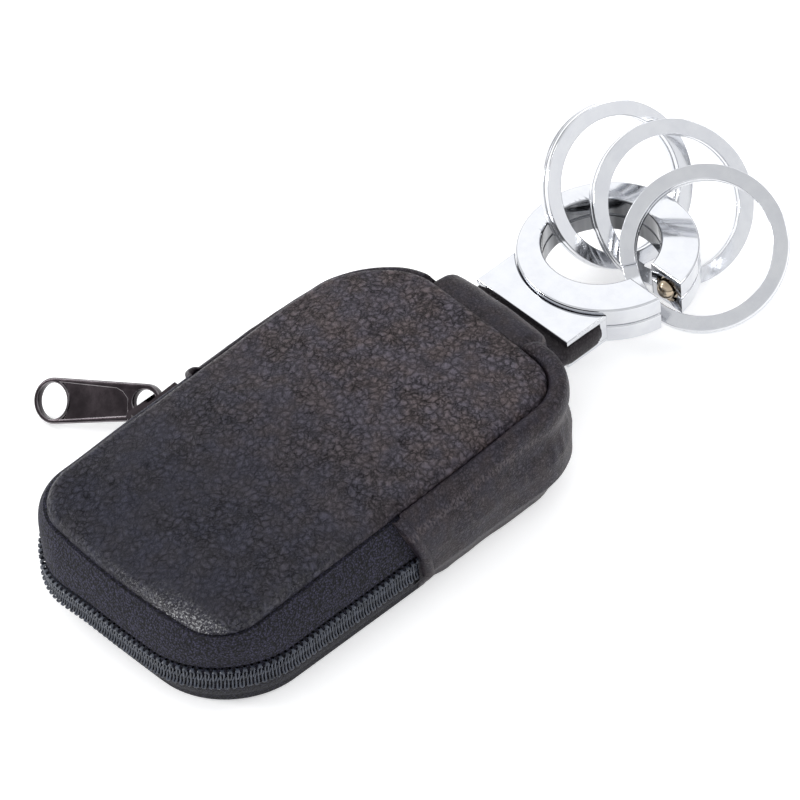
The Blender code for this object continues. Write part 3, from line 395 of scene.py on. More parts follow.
def woven(name, pitch, dark, light):
    """Tape or lining: fine crossing yarns with a heathered tone."""
    made = material(name)
    place = made.grain(pitch)
    where = made.stirred(place, place, 0.5, 2.0, 0.8)
    yarn = made.add("ShaderNodeTexVoronoi", feature="SMOOTH_F1", Vector=where, Scale=1.0, Smoothness=0.35)
    height = made.minus(1.0, yarn.outputs["Distance"])
    fibres = made.noise(place, 3.0, 4.0, 0.7)
    normal = made.bump(fibres, pitch * 0.30, before=made.bump(height, pitch * 0.55))
    tone = made.add("ShaderNodeSeparateColor", Color=yarn.outputs["Color"])
    heather = made.times_plus(made.span(fibres, 0.3, 0.7), 0.5, made.times(tone.outputs[0], 0.5))
    colour = made.blend(made.times(made.span(height, 0.30, 0.85), heather), dark, light)
    return made.finish(Base_Color=colour, Roughness=0.8, Normal=normal, Sheen_Weight=0.05,
                       Sheen_Roughness=0.5, Specular_IOR_Level=0.24)


def nylon(name):
    """Dark zip coil: smooth monofilament with slight tone changes from tooth to tooth."""
    made = material(name)
    place = made.place(0.0007)
    tone = made.span(made.noise(place, 0.8), 0.3, 0.7)
    fine = made.noise(place, 5.0, 3.0)
    return made.finish(Base_Color=made.blend(tone, (0.016, 0.020, 0.030), (0.052, 0.060, 0.082)),
                       Roughness=made.span(fine, 0.3, 0.7, 0.22, 0.34), Normal=made.bump(fine, 0.00003),
                       Specular_IOR_Level=0.55)


def metal(name, colour, shade, rough, wear, bore=None):
    """Plated metal with faint smudges and hairline marks. Inside the radius bore it is darkened in bands:
    painted shade.
    """
    made = material(name)
    place = made.place(0.001)
    smudge = made.noise(place, 0.35, 4.0, 0.6)
    stretch = made.add("ShaderNodeMapping", Vector=place, Scale=(9.0, 0.8, 2.0))
    lines = made.noise(stretch.outputs["Vector"], 1.0, 4.0, 0.7)
    base = made.blend(made.span(smudge, 0.3, 0.7), shade, colour)
    polish = made.span(made.times_plus(lines, 0.6, smudge), 0.5, 1.1, rough, rough + wear)
    if bore is not None:
        x, y, _ = made.split(made.add("ShaderNodeTexCoord").outputs["Object"])
        across = made.math("ADD", x, RING_HOLE_OFFSET)
        along = made.minus(y, RING_CENTRE.y)
        squares = made.math("ADD", made.math("POWER", across, 2.0), made.math("POWER", along, 2.0))
        # Painted shade: inside the bore the colour is darkened in bands, standing in for dark reflections.
        painted_shade_bands = made.add("ShaderNodeTexNoise", noise_dimensions="1D", W=made.math("ARCTAN2", along, across),
                         Scale=1.7, Detail=3.0)
        painted_shade_inside = made.minus(1.0, made.span(made.math("SQRT", squares), bore + 0.00005, bore + 0.0003))
        painted_shade_depth = made.span(painted_shade_bands.outputs["Fac"], 0.35, 0.65, 0.16, 0.46)
        base = made.blend(painted_shade_inside, base, made.scaled(base, painted_shade_depth))
    return made.finish(Base_Color=base, Metallic=1.0, Roughness=polish,
                       Normal=made.bump(lines, 0.000004, 0.5))


def plain_board(name):
    """Grey-brown stiffening board with fibres."""
    made = material(name)
    fibres = made.noise(made.place(0.0008), 1.0, 4.0, 0.7)
    return made.finish(Base_Color=made.blend(fibres, (0.16, 0.13, 0.10), (0.34, 0.30, 0.24)),
                       Roughness=0.9, Normal=made.bump(fibres, 0.0001))


def floor_paper(name):
    """White studio paper with a faint tooth."""
    made = material(name)
    tooth = made.noise(made.place(0.004), 1.0, 3.0)
    base = made.blend(tooth, (0.93, 0.93, 0.93), (0.96, 0.96, 0.96))
    return made.finish(Base_Color=base, Roughness=0.9, Specular_IOR_Level=0.1, Emission_Color=base,
                       Emission_Strength=0.42)


BLUE_BLACK = (0.0118, 0.0112, 0.0215)
BROWN_BLACK = (0.0640, 0.0530, 0.0600)
WARM_BLACK = (0.0240, 0.0190, 0.0255)
LOOKS = {
    "panel_leather": leather("panel_leather", 0.00112, 0.00034, BLUE_BLACK, BROWN_BLACK, 0.0, 0.06, 1.0),
    "gusset_leather": leather("gusset_leather", 0.0007, 0.00016, WARM_BLACK, WARM_BLACK, -0.22, pucker_glints=True),
    "strap_leather": leather("strap_leather", 0.0006, 0.00014, WARM_BLACK, WARM_BLACK, -0.22, edge=0.0415),
    "base_leather": leather("base_leather", 0.0009, 0.00009, BLUE_BLACK, WARM_BLACK, -0.3),
    # A darker copy of the tape for the tape below the chain: painted shade.
    "tape_shaded": woven("tape_low_weave", 0.00030, (0.002, 0.002, 0.003), (0.034, 0.032, 0.058)),
    "tape": woven("tape_weave", 0.00030, (0.003, 0.003, 0.005), (0.066, 0.063, 0.116)),
    "lining": woven("lining_weave", 0.00050, (0.012, 0.012, 0.014), (0.060, 0.060, 0.064)),
    "foam": woven("foam_cells", 0.00080, (0.05, 0.05, 0.055), (0.17, 0.17, 0.18)),
    "board": plain_board("board_fibre"),
    "nylon": nylon("zip_nylon"),
    "chrome": metal("chrome_plate", (0.66, 0.67, 0.69), (0.62, 0.63, 0.66), 0.04, 0.05, RING_HOLE_RADIUS),
    "nickel": metal("nickel_plate", (0.71, 0.72, 0.74), (0.66, 0.67, 0.70), 0.10, 0.08),
    "gunmetal": metal("gunmetal_plate", (0.034, 0.028, 0.031), (0.022, 0.018, 0.020), 0.14, 0.10),
    # A lighter copy of the gunmetal for the tab's bevels: painted highlight.
    "gunmetal_painted_glint": metal("gunmetal_painted_glint", (0.24, 0.22, 0.23), (0.12, 0.11, 0.115), 0.18, 0.12),
    "bronze": metal("bronze_ball", (0.50, 0.42, 0.32), (0.40, 0.32, 0.23), 0.08, 0.08),
    "steel": metal("steel_wire", (0.40, 0.41, 0.43), (0.30, 0.31, 0.33), 0.25, 0.15),
    "paper": floor_paper("floor_paper"),
}


# Mesh helpers.


def mix(a, b, share):
    return a + (b - a) * share


def smooth(value):
    """An eased step from 0 to 1."""
    value = min(max(value, 0), 1)
    return value * value * (3 - 2 * value)


def arc(x, y, radius, begin, end, steps):
    """Points along an arc about (x, y), both ends included."""
    angles = [mix(begin, end, i / steps) for i in range(steps + 1)]
    return [(x + radius * math.cos(angle), y + radius * math.sin(angle)) for angle in angles]


def make_object(name, bm, look, rounded=True):
    bmesh.ops.recalc_face_normals(bm, faces=bm.faces)
    mesh = bpy.data.meshes.new(name)
    bm.to_mesh(mesh)
    bm.free()
    if rounded:
        mesh.shade_smooth()
        mesh.set_sharp_from_angle(angle=math.radians(50.0))
    mesh.materials.append(LOOKS[look])
    places = np.empty(len(mesh.vertices) * 3, dtype=np.float32)
    mesh.vertices.foreach_get("co", places)
    mesh.attributes.new("grain", "FLOAT_VECTOR", "POINT").data.foreach_set("vector", places)
    made = bpy.data.objects.new(name, mesh)
    bpy.context.scene.collection.objects.link(made)
    return made


def loft_faces(bm, loops):
    """Adds a skin through closed loops of points to bm, with a cap at each end."""
    rings = [[bm.verts.new(point) for point in loop] for loop in loops]
    for first, second in zip(rings, rings[1:]):
        for i in range(len(first)):
            j = (i + 1) % len(first)
            bm.faces.new((first[i], first[j], second[j], second[i]))
    bm.faces.new(rings[0])
    bm.faces.new(rings[-1])


def loft(name, loops, look):
    bm = bmesh.new()
    loft_faces(bm, loops)
    return make_object(name, bm, look)


def crisp(made, angle=32.0):
    """Keeps the flat faces of metal flat to their rounded edges."""
    made.data.set_sharp_from_angle(angle=math.radians(angle))
    change = made.modifiers.new("flats", "WEIGHTED_NORMAL")
    change.weight = 100
    change.keep_sharp = True


def final_mesh(made):
    """A new mesh of a curve, or of an object with its modifiers applied."""
    bpy.context.view_layer.update()
    return bpy.data.meshes.new_from_object(made.evaluated_get(bpy.context.evaluated_depsgraph_get()))


def ruffle(point, size, depth):
    """Soft leather's slow rise and fall at a point."""
    return depth * noise.noise(point / size)


# Case outlines and wall.


def outline(sizes, offset=0.0, tuck=0.0, lean=1.0):
    """A clockwise plan outline from the right side's flex line, by the front, and back.

    The rear half is narrower by the share tuck, and its left side leans in by the share lean.
    """
    right, left, front, rear, *radii = (size + offset for size in sizes[:8])
    front_right, front_left, rear_left, rear_right = radii
    front_bow, rear_bow = sizes[8:]
    points = []

    def straight(start, end, steps):
        for i in range(steps):
            points.append([mix(a, b, i / steps) for a, b in zip(start, end)])

    def corner(x, y, radius, begin):
        points.extend(map(list, arc(x, y, radius, begin, begin - QUARTER, CORNER_STEPS)[:-1]))

    straight((right, 0), (right, front_right - front), SIDE_STEPS)
    corner(right - front_right, front_right - front, front_right, 0)
    straight((right - front_right, -front), (front_left - left, -front), END_STEPS)
    corner(front_left - left, front_left - front, front_left, -QUARTER)
    straight((-left, front_left - front), (-left, 0), SIDE_STEPS)
    straight((-left, 0), (-left, rear - rear_left), SIDE_STEPS)
    corner(rear_left - left, rear - rear_left, rear_left, math.pi)
    straight((rear_left - left, rear), (right - rear_right, rear), END_STEPS)
    corner(right - rear_right, rear - rear_right, rear_right, QUARTER)
    straight((right, rear - rear_right), (right, 0), SIDE_STEPS)
    for point in points:
        across = 1 - (point[0] / right) ** 2
        if point[1] < 0:
            point[1] -= front_bow * across * -point[1] / front
        else:
            point[1] += rear_bow * across * point[1] / rear
            point[0] *= 1 - tuck * smooth(point[1] / 0.010)
            left = smooth(-point[0] / 0.012) * lean
            point[0] += LEFT_LEAN * left * smooth((point[1] - 0.015) / 0.0175)
            point[1] += REAR_SKEW * left * smooth((point[1] - 0.025) / 0.008)
    return points


def seam_height(y):
    """The top seam climbs from the front to the rear."""
    share = (y + SEAM_SIZES[2]) / (SEAM_SIZES[2] + SEAM_SIZES[3])
    return mix(SEAM_HEIGHT_FRONT, SEAM_HEIGHT_REAR, share)


def wall_row(level, offset=0.0, lift=0.0):
    """Points round the case wall: level 0 is the base seam, 1 and 2 the zip, 3 the top seam."""
    keys = (BASE_SIZES, ZIP_SIZES, ZIP_SIZES, SEAM_SIZES)
    below = min(int(level), len(keys) - 2)
    share = level - below
    sizes = tuple(mix(a, b, share) for a, b in zip(keys[below], keys[below + 1]))
    row = []
    lean = 0.55 * min(level, 1) + 0.45 * max(level - 2, 0)
    for x, y in outline(sizes, offset, REAR_TUCK * max(1 - level, 0), lean):
        dip = ZIP_DIP * smooth((-x - 0.002) / 0.014) * smooth((-y - 0.012) / 0.012)
        heights = (BASE_SEAM_HEIGHT, ZIP_LOW - dip, ZIP_HIGH - dip, seam_height(y))
        row.append(Vector((x, y, mix(heights[below], heights[below + 1], share) + lift)))
    return row


def front_run(row):
    """The row round the front, with its ends tucked behind the gusset."""
    tuck = Vector((0, TAPE_TUCK, 0))
    return [row[0] + tuck, *row[: RUN + 1], row[RUN] + tuck]


def rear_run(row):
    return [*row[RUN:], row[0]]


# Leather top panel, its pad and its lining.


def dome_loops(under, levels):
    """Loops of a domed panel from its rim inwards, lowered by under."""
    return [[Vector((x * scale, y * scale, seam_height(y * scale) + rise - under))
             for x, y in outline(SEAM_SIZES, -inset)] for inset, scale, rise in levels]


def dome_levels(extra_inset, steps):
    """(inset, scale, rise) of each loop: a rounded turned edge, then a pillowed dome."""
    levels = [(extra_inset, 1.0, 0.0)]
    for i in range(1, PANEL_RIM_STEPS + 1):
        angle = QUARTER * i / PANEL_RIM_STEPS
        inset = PANEL_EDGE_RADIUS * (1 - math.cos(angle)) + extra_inset
        levels.append((inset, 1.0, PANEL_EDGE_RISE * math.sin(angle)))
    edge = PANEL_EDGE_RADIUS + extra_inset
    for i in range(1, steps + 1):
        scale = max(1 - i / steps, 0.01)
        levels.append((edge, scale, PANEL_EDGE_RISE + PANEL_DOME * (1 - scale**2)))
    return levels


def top_panel():
    outer = dome_loops(0.0, dome_levels(0.0, PANEL_DOME_STEPS))
    for loop in outer[2:]:
        for point in loop:
            point.z += ruffle(point, 0.0130, 0.00030) + ruffle(point, 0.0045, 0.00009)
    inner = dome_loops(LEATHER, dome_levels(LEATHER, 10)[1:])
    rim = dome_loops(PANEL_RIM_DEPTH, [(0.0002, 1.0, 0.0), (LEATHER, 1.0, 0.0)])
    panel = loft("top_panel", [*reversed(outer), *rim, *inner], "panel_leather")
    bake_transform(panel)
    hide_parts("top_panel_front", "top_panel_rear")


def top_pad():
    under = LEATHER + SOFT_GAP
    top = dome_loops(under, dome_levels(PADDING_INSET, 12)[1:])
    rim = dome_loops(under, [(PADDING_INSET, 1.0, 0.0)])
    low = dome_loops(under + PADDING_EDGE, [(PADDING_INSET, 1.0, 0.0), (PADDING_INSET, 0.5, 0.0)])
    pad = loft("top_pad", [*reversed(top), *rim, *low], "foam")
    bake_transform(pad)
    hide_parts("top_padding_front", "top_padding_rear")


def top_lining():
    under = LEATHER + 2 * SOFT_GAP + PADDING_EDGE
    scales = [0.02, *(i / LINING_STEPS for i in range(1, LINING_STEPS + 1))]
    top = dome_loops(under, [(PADDING_INSET, scale, 0.0) for scale in scales])
    low = dome_loops(under + LINING, [(PADDING_INSET, scale, 0.0) for scale in reversed(scales)])
    lining = loft("top_lining", [*top, *low], "lining")
    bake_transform(lining)
    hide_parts("top_lining_front", "top_lining_rear")


# Base.


def flat_loop(inset, height):
    return [Vector((x, y, height)) for x, y in outline(BASE_SIZES, -inset, REAR_TUCK, 0.0)]


def base():
    loops = []
    for i in range(BASE_CORNER_STEPS + 1):
        angle = QUARTER * i / BASE_CORNER_STEPS
        loops.append(flat_loop(BASE_CORNER * (1 - math.sin(angle)), BASE_SEAM_HEIGHT * (1 - math.cos(angle))))
    loops.append(flat_loop(LEATHER, BASE_SEAM_HEIGHT))
    loops.append(flat_loop(BASE_CORNER + LEATHER, LEATHER))
    cover = loft("base_cover", loops, "base_leather")
    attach(cover, "case")
    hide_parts("bottom_cover")
    low = LEATHER + SOFT_GAP * 2 + BOARD
    inset = BASE_CORNER + LEATHER + BOARD_INSET
    lining = loft("base_lining", [flat_loop(inset, low), flat_loop(inset, low + LINING)], "lining")
    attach(lining, "case")
    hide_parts("bottom_lining")


# Zip tapes and chain.


def tape_row(level, offset, lift=0.0, swell=0.0):
    """A row of a tape. Swell pushes it out where the case's left side bulges."""
    row = front_run(wall_row(level, offset, lift))
    for point in row:
        point.x -= smooth((-point.x - 0.012) / 0.008) * swell
    return row


def tape_skin(name, stations, body, node, look):
    """A tape along the front run. Stations are what tape_row takes, from the tape's top down."""
    back = [(level, offset - TAPE, *rest) for level, offset, *rest in reversed(stations)]
    rows = [tape_row(*station) for station in (*stations, *back)]
    tape = loft(name, [list(points) for points in zip(*rows)], look)
    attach(tape, body)
    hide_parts(node)


def tapes():
    upper = [(3.0, -0.0004, -0.0003), (2.98, -0.0002, -0.0003)]
    for i in range(13):
        level = mix(2.94, 2.05, i / 12)
        bow = math.sin(math.pi * (level - 2)) ** 0.7
        upper.append((level, max(TAPE_BULGE * bow, 0.00022), 0.0, LEFT_BULGE * bow * (level - 2)))
    upper += [(2.02, 0.00016), (1.99, -0.0001), (1.93, -0.00030), (1.80, -0.00006), (1.53, 0.00002)]
    tape_skin("zip_tape_top", upper, "flap", "zip_tape_upper", "tape")
    lower = [(1.47, 0.00002), (1.20, -0.00006), (1.07, -0.00030), (1.01, -0.0001), (0.98, 0.00014)]
    for i in range(6):
        level = mix(0.93, 0.12, i / 5)
        lower.append((level, TAPE_BULGE * 0.6 * math.sin(math.pi * level)))
    lower += [(0.0, 0.00016), (0.0, 0.00008, -0.0006), (0.0, -0.00024, -0.00115), (0.0, -0.00074, -0.00148)]
    tape_skin("zip_tape_base", lower, "case", "zip_tape_lower", "tape_shaded")


def along_path(points, distance):
    """The place, the outward direction and the line's direction at a distance along some points."""
    for a, b in zip(points, points[1:]):
        length = (b - a).length
        along = (b - a) / length
        if distance <= length:
            break
        distance -= length
    return a + along * distance, Vector((-along.y, along.x, 0)), along


TOOTH_SHAPE = (
    # share of the way from the tape to the head, how far out the wire's middle is, how wide the loop is
    (0.00, 0.10, 0.00),
    (0.02, 0.48, 0.10),
    (0.06, 0.72, 0.34),
    (0.12, 0.82, 0.62),
    (0.22, 0.72, 0.92),
    (0.34, 0.52, 1.00),
    (0.50, 0.44, 1.00),
    (0.68, 0.46, 0.92),
    (0.82, 0.52, 0.70),
    (0.93, 0.46, 0.40),
    (1.00, 0.28, 0.05),
)
TOOTH_SIDES = 7


def tooth(bm, place, outward, along, side):
    """One turn of the coil: two legs of wire from a bump by the tape to the interlocking head."""
    reach = (ZIP_HIGH - ZIP_LOW) / 2 - TOOTH_END_GAP
    for leg in (-1, 1):
        loops = []
        for share, out, wide in TOOTH_SHAPE:
            up = mix(reach, -TOOTH_REACH, share)
            lean = TOOTH_SLANT * (share - 0.5) * side + leg * wide * (TOOTH_WIDTH - TOOTH_WIRE) / 2
            middle = place + outward * (TOOTH_STAND * out) + along * lean + Vector((0, 0, up * side))
            thick = TOOTH_WIRE / 2 * (1.5 - 0.5 * smooth(share / 0.3))
            loops.append([middle + along * (thick * x) + outward * (thick * y)
                          for x, y in circle(0, 1, 1, TOOTH_SIDES)])
        loft_faces(bm, loops)


def chain():
    path = front_run(wall_row(1.5))
    total = sum((b - a).length for a, b in zip(path, path[1:]))
    start = TAPE_TUCK - CHAIN_TUCK
    count = int((total - 2 * start) / TOOTH_PITCH)
    for name, side, body, node in (("zip_teeth_top", 1, "flap", "zip_coil_upper"),
                                   ("zip_teeth_base", -1, "case", "zip_coil_lower")):
        bm = bmesh.new()
        for i in range(count + 1):
            tooth(bm, *along_path(path, start + (i + 0.25 * side + 0.25) * TOOTH_PITCH), side)
        teeth = make_object(name, bm, "nylon")
        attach(teeth, body)
        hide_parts(node)


# Gusset.


def gusset_lean(z):
    share = (z - BASE_SEAM_HEIGHT) / SEAM_HEIGHT_FRONT
    bow = math.sin(math.pi * min(max(share, 0), 1)) ** 0.8
    return mix(GUSSET_LEAN_BASE, GUSSET_LEAN_TOP, share) + GUSSET_LEAN_BOW * bow


GUSSET_STATIONS = (
    # Wall level, then how far out in mm: plain, and where the leather rolls by the seam. Some are
    # also lifted, by two more lengths.
    (0.00, 0.10, 0.10, -1.2, -1.2),
    (0.00, 0.42, 0.42, -0.9, -0.9),
    (0.00, 0.62, 0.62, -0.4, -0.4),
    (0.15, 0.74, 0.74),
    (0.60, 0.88, 0.88),
    (1.00, 0.96, 0.96),
    (1.40, 1.02, 1.02),
    (1.80, 1.10, 1.10),
    (2.00, 1.24, 1.20),
    (2.14, 1.44, 1.28),
    (2.26, 1.62, 1.30),
    (2.38, 1.76, 1.32),
    (2.50, 1.82, 1.46),
    (2.60, 1.76, 1.80),
    (2.70, 1.58, 2.25),
    (2.80, 1.32, 2.64),
    (2.88, 1.08, 2.86, 0.0, 0.1),
    (2.96, 0.86, 2.90, 0.0, 0.4),
    (3.00, 0.66, 2.72, 0.06, 0.85),
    (3.00, 0.46, 2.26, 0.16, 1.28),
    (3.00, 0.28, 1.60, 0.20, 1.48),
    (3.00, 0.12, 0.92, 0.12, 1.36),
    (3.00, 0.00, 0.34, -0.1, 0.92),
    (3.00, 0.00, 0.02, -0.6, 0.10),
    (2.70, 0.02, 0.02, -0.3, -0.3),
    (2.00, 0.08, 0.08),
    (1.00, 0.08, 0.08),
    (0.00, -0.30, -0.30, -0.2, -0.2),
)
GUSSET_FACE_ROWS = 24
HEM_SHAPE = (
    # share of the fold's length, how far it stands proud
    (-0.06, 0.45),
    (0.00, 0.78),
    (0.12, 0.98),
    (0.35, 1.10),
    (0.60, 1.00),
    (0.82, 0.62),
    (0.96, 0.10),
    (1.08, -0.12),
    (1.25, -0.04),
    (1.50, 0.0),
)


def bound_edge(edge, beside):
    """The columns of a folded and bound front edge, and one half way to the column beside it."""
    flat = [point + Vector((0, gusset_lean(point.z), 0)) for point in edge]
    fold = math.copysign(GUSSET_FOLD, flat[0].x)
    made = []
    for along, out in HEM_SHAPE:
        shown = [smooth((i + 1) / 5) if i < GUSSET_FACE_ROWS else 0.0 for i in range(len(flat))]
        made.append([point + Vector((fold * out * share, along * GUSSET_FOLD_LENGTH, 0))
                     for point, share in zip(flat, shown)])
    made.append([mix(a, b, 0.5) for a, b in zip(made[-1], beside)])
    return made


def gusset():
    """The leather wall round the rear half: a soft roll by the seam, folded and bound front edges."""
    rows = []
    for index, (level, plain, rolled, *lifts) in enumerate(GUSSET_STATIONS):
        plain_lift, rolled_lift = lifts or (0.0, 0.0)
        row = rear_run(wall_row(level))
        wide = rear_run(wall_row(level, 0.001))
        for point, out_point in zip(row, wide):
            out = (out_point - point) / 0.001
            roll = smooth((point.y - 0.010) / 0.020) * smooth((point.x - 0.0098) / 0.003)
            roll = max(roll, 0.25 * smooth((point.y - 0.018) / 0.012) * smooth((-point.x - 0.0070) / 0.003))
            left = 0.0003 * smooth((-point.x - 0.012) / 0.006) * smooth((0.017 - point.y) / 0.007)
            hem = smooth((point.y - 0.003) / 0.005)
            pucker = 0.0
            if index < GUSSET_FACE_ROWS - 4:
                pucker = ruffle(point, 0.0080, 0.00028) + ruffle(point, 0.0032, 0.00010)
                shoulder = math.exp(-(((level - 2.15) / 0.30) ** 2))
                pucker += shoulder * ruffle(Vector((point.x, point.y, 0)), 0.0010, 0.00022)
                pucker *= hem
            low = mix(0.0008, 0.0, hem) * smooth((1.2 - level) / 1.2)
            push = mix(plain, rolled, roll) / 1000 + pucker - low + left * smooth(level / 2)
            point += out * push + Vector((0, 0, mix(plain_lift, rolled_lift, roll) / 1000))
            if point.y > 0.030:
                half = STRAP_HALF_WIDTH * (STRAP_RIGHT if point.x > 0 else 1.0)
                edge = smooth((abs(point.x) - half - 0.0001) / 0.0009)
                point.z = min(point.z, mix(STRAP_TOP_Z - STRAP_THICK / 2 - 0.0002, 0.03, edge))
        rows.append(row)
    columns = [list(points) for points in zip(*rows)]
    first, last = bound_edge(columns[0], columns[1]), bound_edge(columns[-1], columns[-2])
    wall = loft("gusset_wall", [*first, *columns[1:-1], *reversed(last)], "gusset_leather")
    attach(wall, "case")
    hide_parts("gusset")


# Strap.


def strap_line():
    """The strap's middle line as (y, z) places from the seam to its end in the bracket."""
    line = [(0.0345, STRAP_TOP_Z), (0.0358, STRAP_TOP_Z + 0.0001)]
    fold, turn = STRAP_FOLD_RADIUS, STRAP_TURN_RADIUS
    line += arc(STRAP_DOWN_Y - fold, STRAP_TOP_Z - fold, fold, QUARTER, 0, 8)
    return line + arc(STRAP_DOWN_Y + turn, STRAP_MIDDLE + turn, turn, math.pi, 3 * QUARTER, 8)


def rounded_box(half_wide, half_thick, edge, steps):
    """(across, up) points of a rectangle with round corners."""
    points = []
    for i, (sx, sy) in enumerate(((1, 1), (-1, 1), (-1, -1), (1, -1))):
        for k in range(steps + 1):
            angle = QUARTER * (i + k / steps)
            points.append((sx * (half_wide - edge) + edge * math.cos(angle),
                           sy * (half_thick - edge) + edge * math.sin(angle)))
    return points


def strap_band(square=0.0):
    """(across, up) points of the strap's section, whose edges are round, or square in the bracket."""
    flat, half = STRAP_HALF_WIDTH - STRAP_EDGE, STRAP_THICK / 2
    power = 1 - 0.8 * square
    points = [(mix(-flat, flat, i / 24), half) for i in range(25)]
    for i in range(1, 12):
        across, up = math.sin(math.pi * i / 12), math.cos(math.pi * i / 12)
        points.append((flat + STRAP_EDGE * across**power, math.copysign(half * abs(up) ** power, up)))
    points += [(-x, -z) for x, z in points]
    return points


def strap():
    line = strap_line()
    loops = []
    for i, (y, z) in enumerate(line):
        before, after = line[max(i - 1, 0)], line[min(i + 1, len(line) - 1)]
        along = Vector((0, after[0] - before[0], after[1] - before[1])).normalized()
        up = Vector((0, -along.z, along.y))
        loop = []
        for across, high in strap_band():
            droop = STRAP_DROOP * (across / STRAP_HALF_WIDTH) ** 4 * smooth((z - STRAP_MIDDLE) / 0.006)
            point = Vector((across * (STRAP_RIGHT if across > 0 else 1), y, z)) + up * (high - droop)
            point += up * (ruffle(point, 0.0050, 0.00012) + ruffle(point, 0.0021, 0.00005))
            loop.append(point)
        loops.append(loop)
    radius = RING_RADIUS + SEAT_GAP / 3 + BRACKET_WALL + 0.0001
    for share in (0.0, 0.12, 0.3, 0.6, 0.80, 0.88, 0.95, 1.0):
        entered = smooth(share / 0.12)
        thick = mix(STRAP_THICK, STRAP_SLOT, entered) / STRAP_THICK
        loop = []
        for across, high in strap_band(0.35 * entered):
            begin, within = (STRAP_RIGHT, STRAP_SLOT_WIDTHS[1]) if across > 0 else (1.0, STRAP_SLOT_WIDTHS[0])
            wide = mix(begin, within, entered) - 0.060 * smooth((share - 0.75) / 0.25)
            end = RING_CENTRE.y - math.sqrt(radius**2 - (across * wide) ** 2)
            loop.append(Vector((across * wide, mix(BRACKET_FRONT - 0.0008, end, share),
                                STRAP_MIDDLE + high * thick)))
        loops.append(loop)
    made = loft("strap", loops, "strap_leather")
    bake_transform(made)
    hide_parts("strap_loop", "strap_tongue")


# Metal fittings.


def plate(name, outlines, middle, thick, edge, look, matrix=None, resolution=3):
    """A flat plate from closed outlines (the first outside, the others holes) with round edges."""
    curve = bpy.data.curves.new(name, "CURVE")
    curve.dimensions = "2D"
    curve.fill_mode = "BOTH"
    curve.extrude = thick / 2 - edge
    curve.bevel_depth = edge
    curve.bevel_resolution = resolution
    curve.offset = -edge
    for points in outlines:
        spline = curve.splines.new("POLY")
        spline.points.add(len(points) - 1)
        spline.points.foreach_set("co", [value for x, y in points for value in (x, y, 0, 1)])
        spline.use_cyclic_u = True
    holder = bpy.data.objects.new(name, curve)
    bpy.context.scene.collection.objects.link(holder)
    mesh = final_mesh(holder)
    bpy.data.objects.remove(holder)
    bpy.data.curves.remove(curve)
    mesh.transform(Matrix.Translation((0, 0, middle)) if matrix is None else matrix)
    bm = bmesh.new()
    bm.from_mesh(mesh)
    bpy.data.meshes.remove(mesh)
    bmesh.ops.remove_doubles(bm, verts=bm.verts, dist=0.000004)
    return make_object(name, bm, look)


def joined(first, *others):
    """The objects as one, under the first one's name."""
    bm = bmesh.new()
    for part in (first, *others):
        bm.from_mesh(part.data)
    bm.to_mesh(first.data)
    bm.free()
    for part in others:
        bpy.data.objects.remove(part)
    return first


def circle(centre, radius_x, radius_y, count):
    return [(centre + radius_x * math.cos(math.tau * i / count), radius_y * math.sin(math.tau * i / count))
            for i in range(count)]


def bar(name, start, end, radius, look):
    turn = (end - start).to_track_quat("Z", "Y").to_matrix()
    loops = [[place + turn @ Vector((x, y, 0)) for x, y in circle(0, radius, radius, 40)]
             for place in (start, end)]
    return loft(name, loops, look)


def carve(made, cutter):
    change = made.modifiers.new("carve", "BOOLEAN")
    change.operation = "DIFFERENCE"
    change.solver = "EXACT"
    change.object = cutter
    carved = final_mesh(made)
    made.modifiers.clear()
    made.data = carved
    bpy.data.objects.remove(cutter)


def c_outline():
    """The C-ring's plan with its off-centre hole and its gate."""
    points = []
    for radius, shift, flip in ((RING_RADIUS, 0.0, False), (RING_HOLE_RADIUS, -RING_HOLE_OFFSET, True)):
        begin = math.asin(GATE_FAR / radius)
        end = math.tau - math.asin(GATE_NEAR / radius)
        side = arc(shift, RING_CENTRE.y, radius, begin, end, 160)
        points += side[::-1] if flip else side
    return points


def bore_place(depth):
    start_x = (math.sqrt(RING_RADIUS**2 - GATE_FAR**2)
               + math.sqrt(RING_HOLE_RADIUS**2 - GATE_FAR**2) - RING_HOLE_OFFSET) / 2
    return Vector((start_x, RING_CENTRE.y + GATE_FAR + depth, RING_CENTRE.z))


def c_ring():
    half = (RING_THICK - RING_PARTING) / 2
    for name, side, node in (("ring_half_top", 1, "c_ring_upper"), ("ring_half_base", -1, "c_ring_lower")):
        middle = RING_CENTRE.z + side * (RING_PARTING + half) / 2
        ring = plate(name, [c_outline()], middle, half, RING_EDGE, "chrome")
        carve(ring, bar("bore", bore_place(-0.002), bore_place(BORE_DEPTH), BORE_RADIUS, "steel"))
        ring.data.materials.clear()
        ring.data.materials.append(LOOKS["chrome"])
        crisp(ring)
        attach(ring, "fitting")
        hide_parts(node)


def seat_arc(radius):
    """The bracket's width of an arc round the C-ring."""
    sweep = math.asin(BRACKET_HALF_WIDTH / radius)
    return arc(0, RING_CENTRE.y, radius, -QUARTER - sweep, sweep - QUARTER, 40)


def bracket():
    seat = seat_arc(RING_RADIUS + SEAT_GAP / 3)[::-1]
    outer = [(-BRACKET_HALF_WIDTH, BRACKET_FRONT), (BRACKET_HALF_WIDTH, BRACKET_FRONT)] + seat
    plates = [plate("bracket_plate", [outer], z, BRACKET_PLATE, BRACKET_EDGE, "chrome")
              for z in (BRACKET_TOP - BRACKET_PLATE / 2, BRACKET_BOTTOM + BRACKET_PLATE / 2)]
    wall = seat_arc(RING_RADIUS + SEAT_GAP / 3 + BRACKET_WALL) + seat
    high = BRACKET_TOP - BRACKET_BOTTOM - BRACKET_PLATE
    middle = (BRACKET_TOP + BRACKET_BOTTOM) / 2
    plates.append(plate("bracket_wall", [wall], middle, high, BRACKET_EDGE, "chrome"))
    made = joined(*plates)
    made.name = "strap_bracket"
    crisp(made)
    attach(made, "fitting")
    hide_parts("bracket")


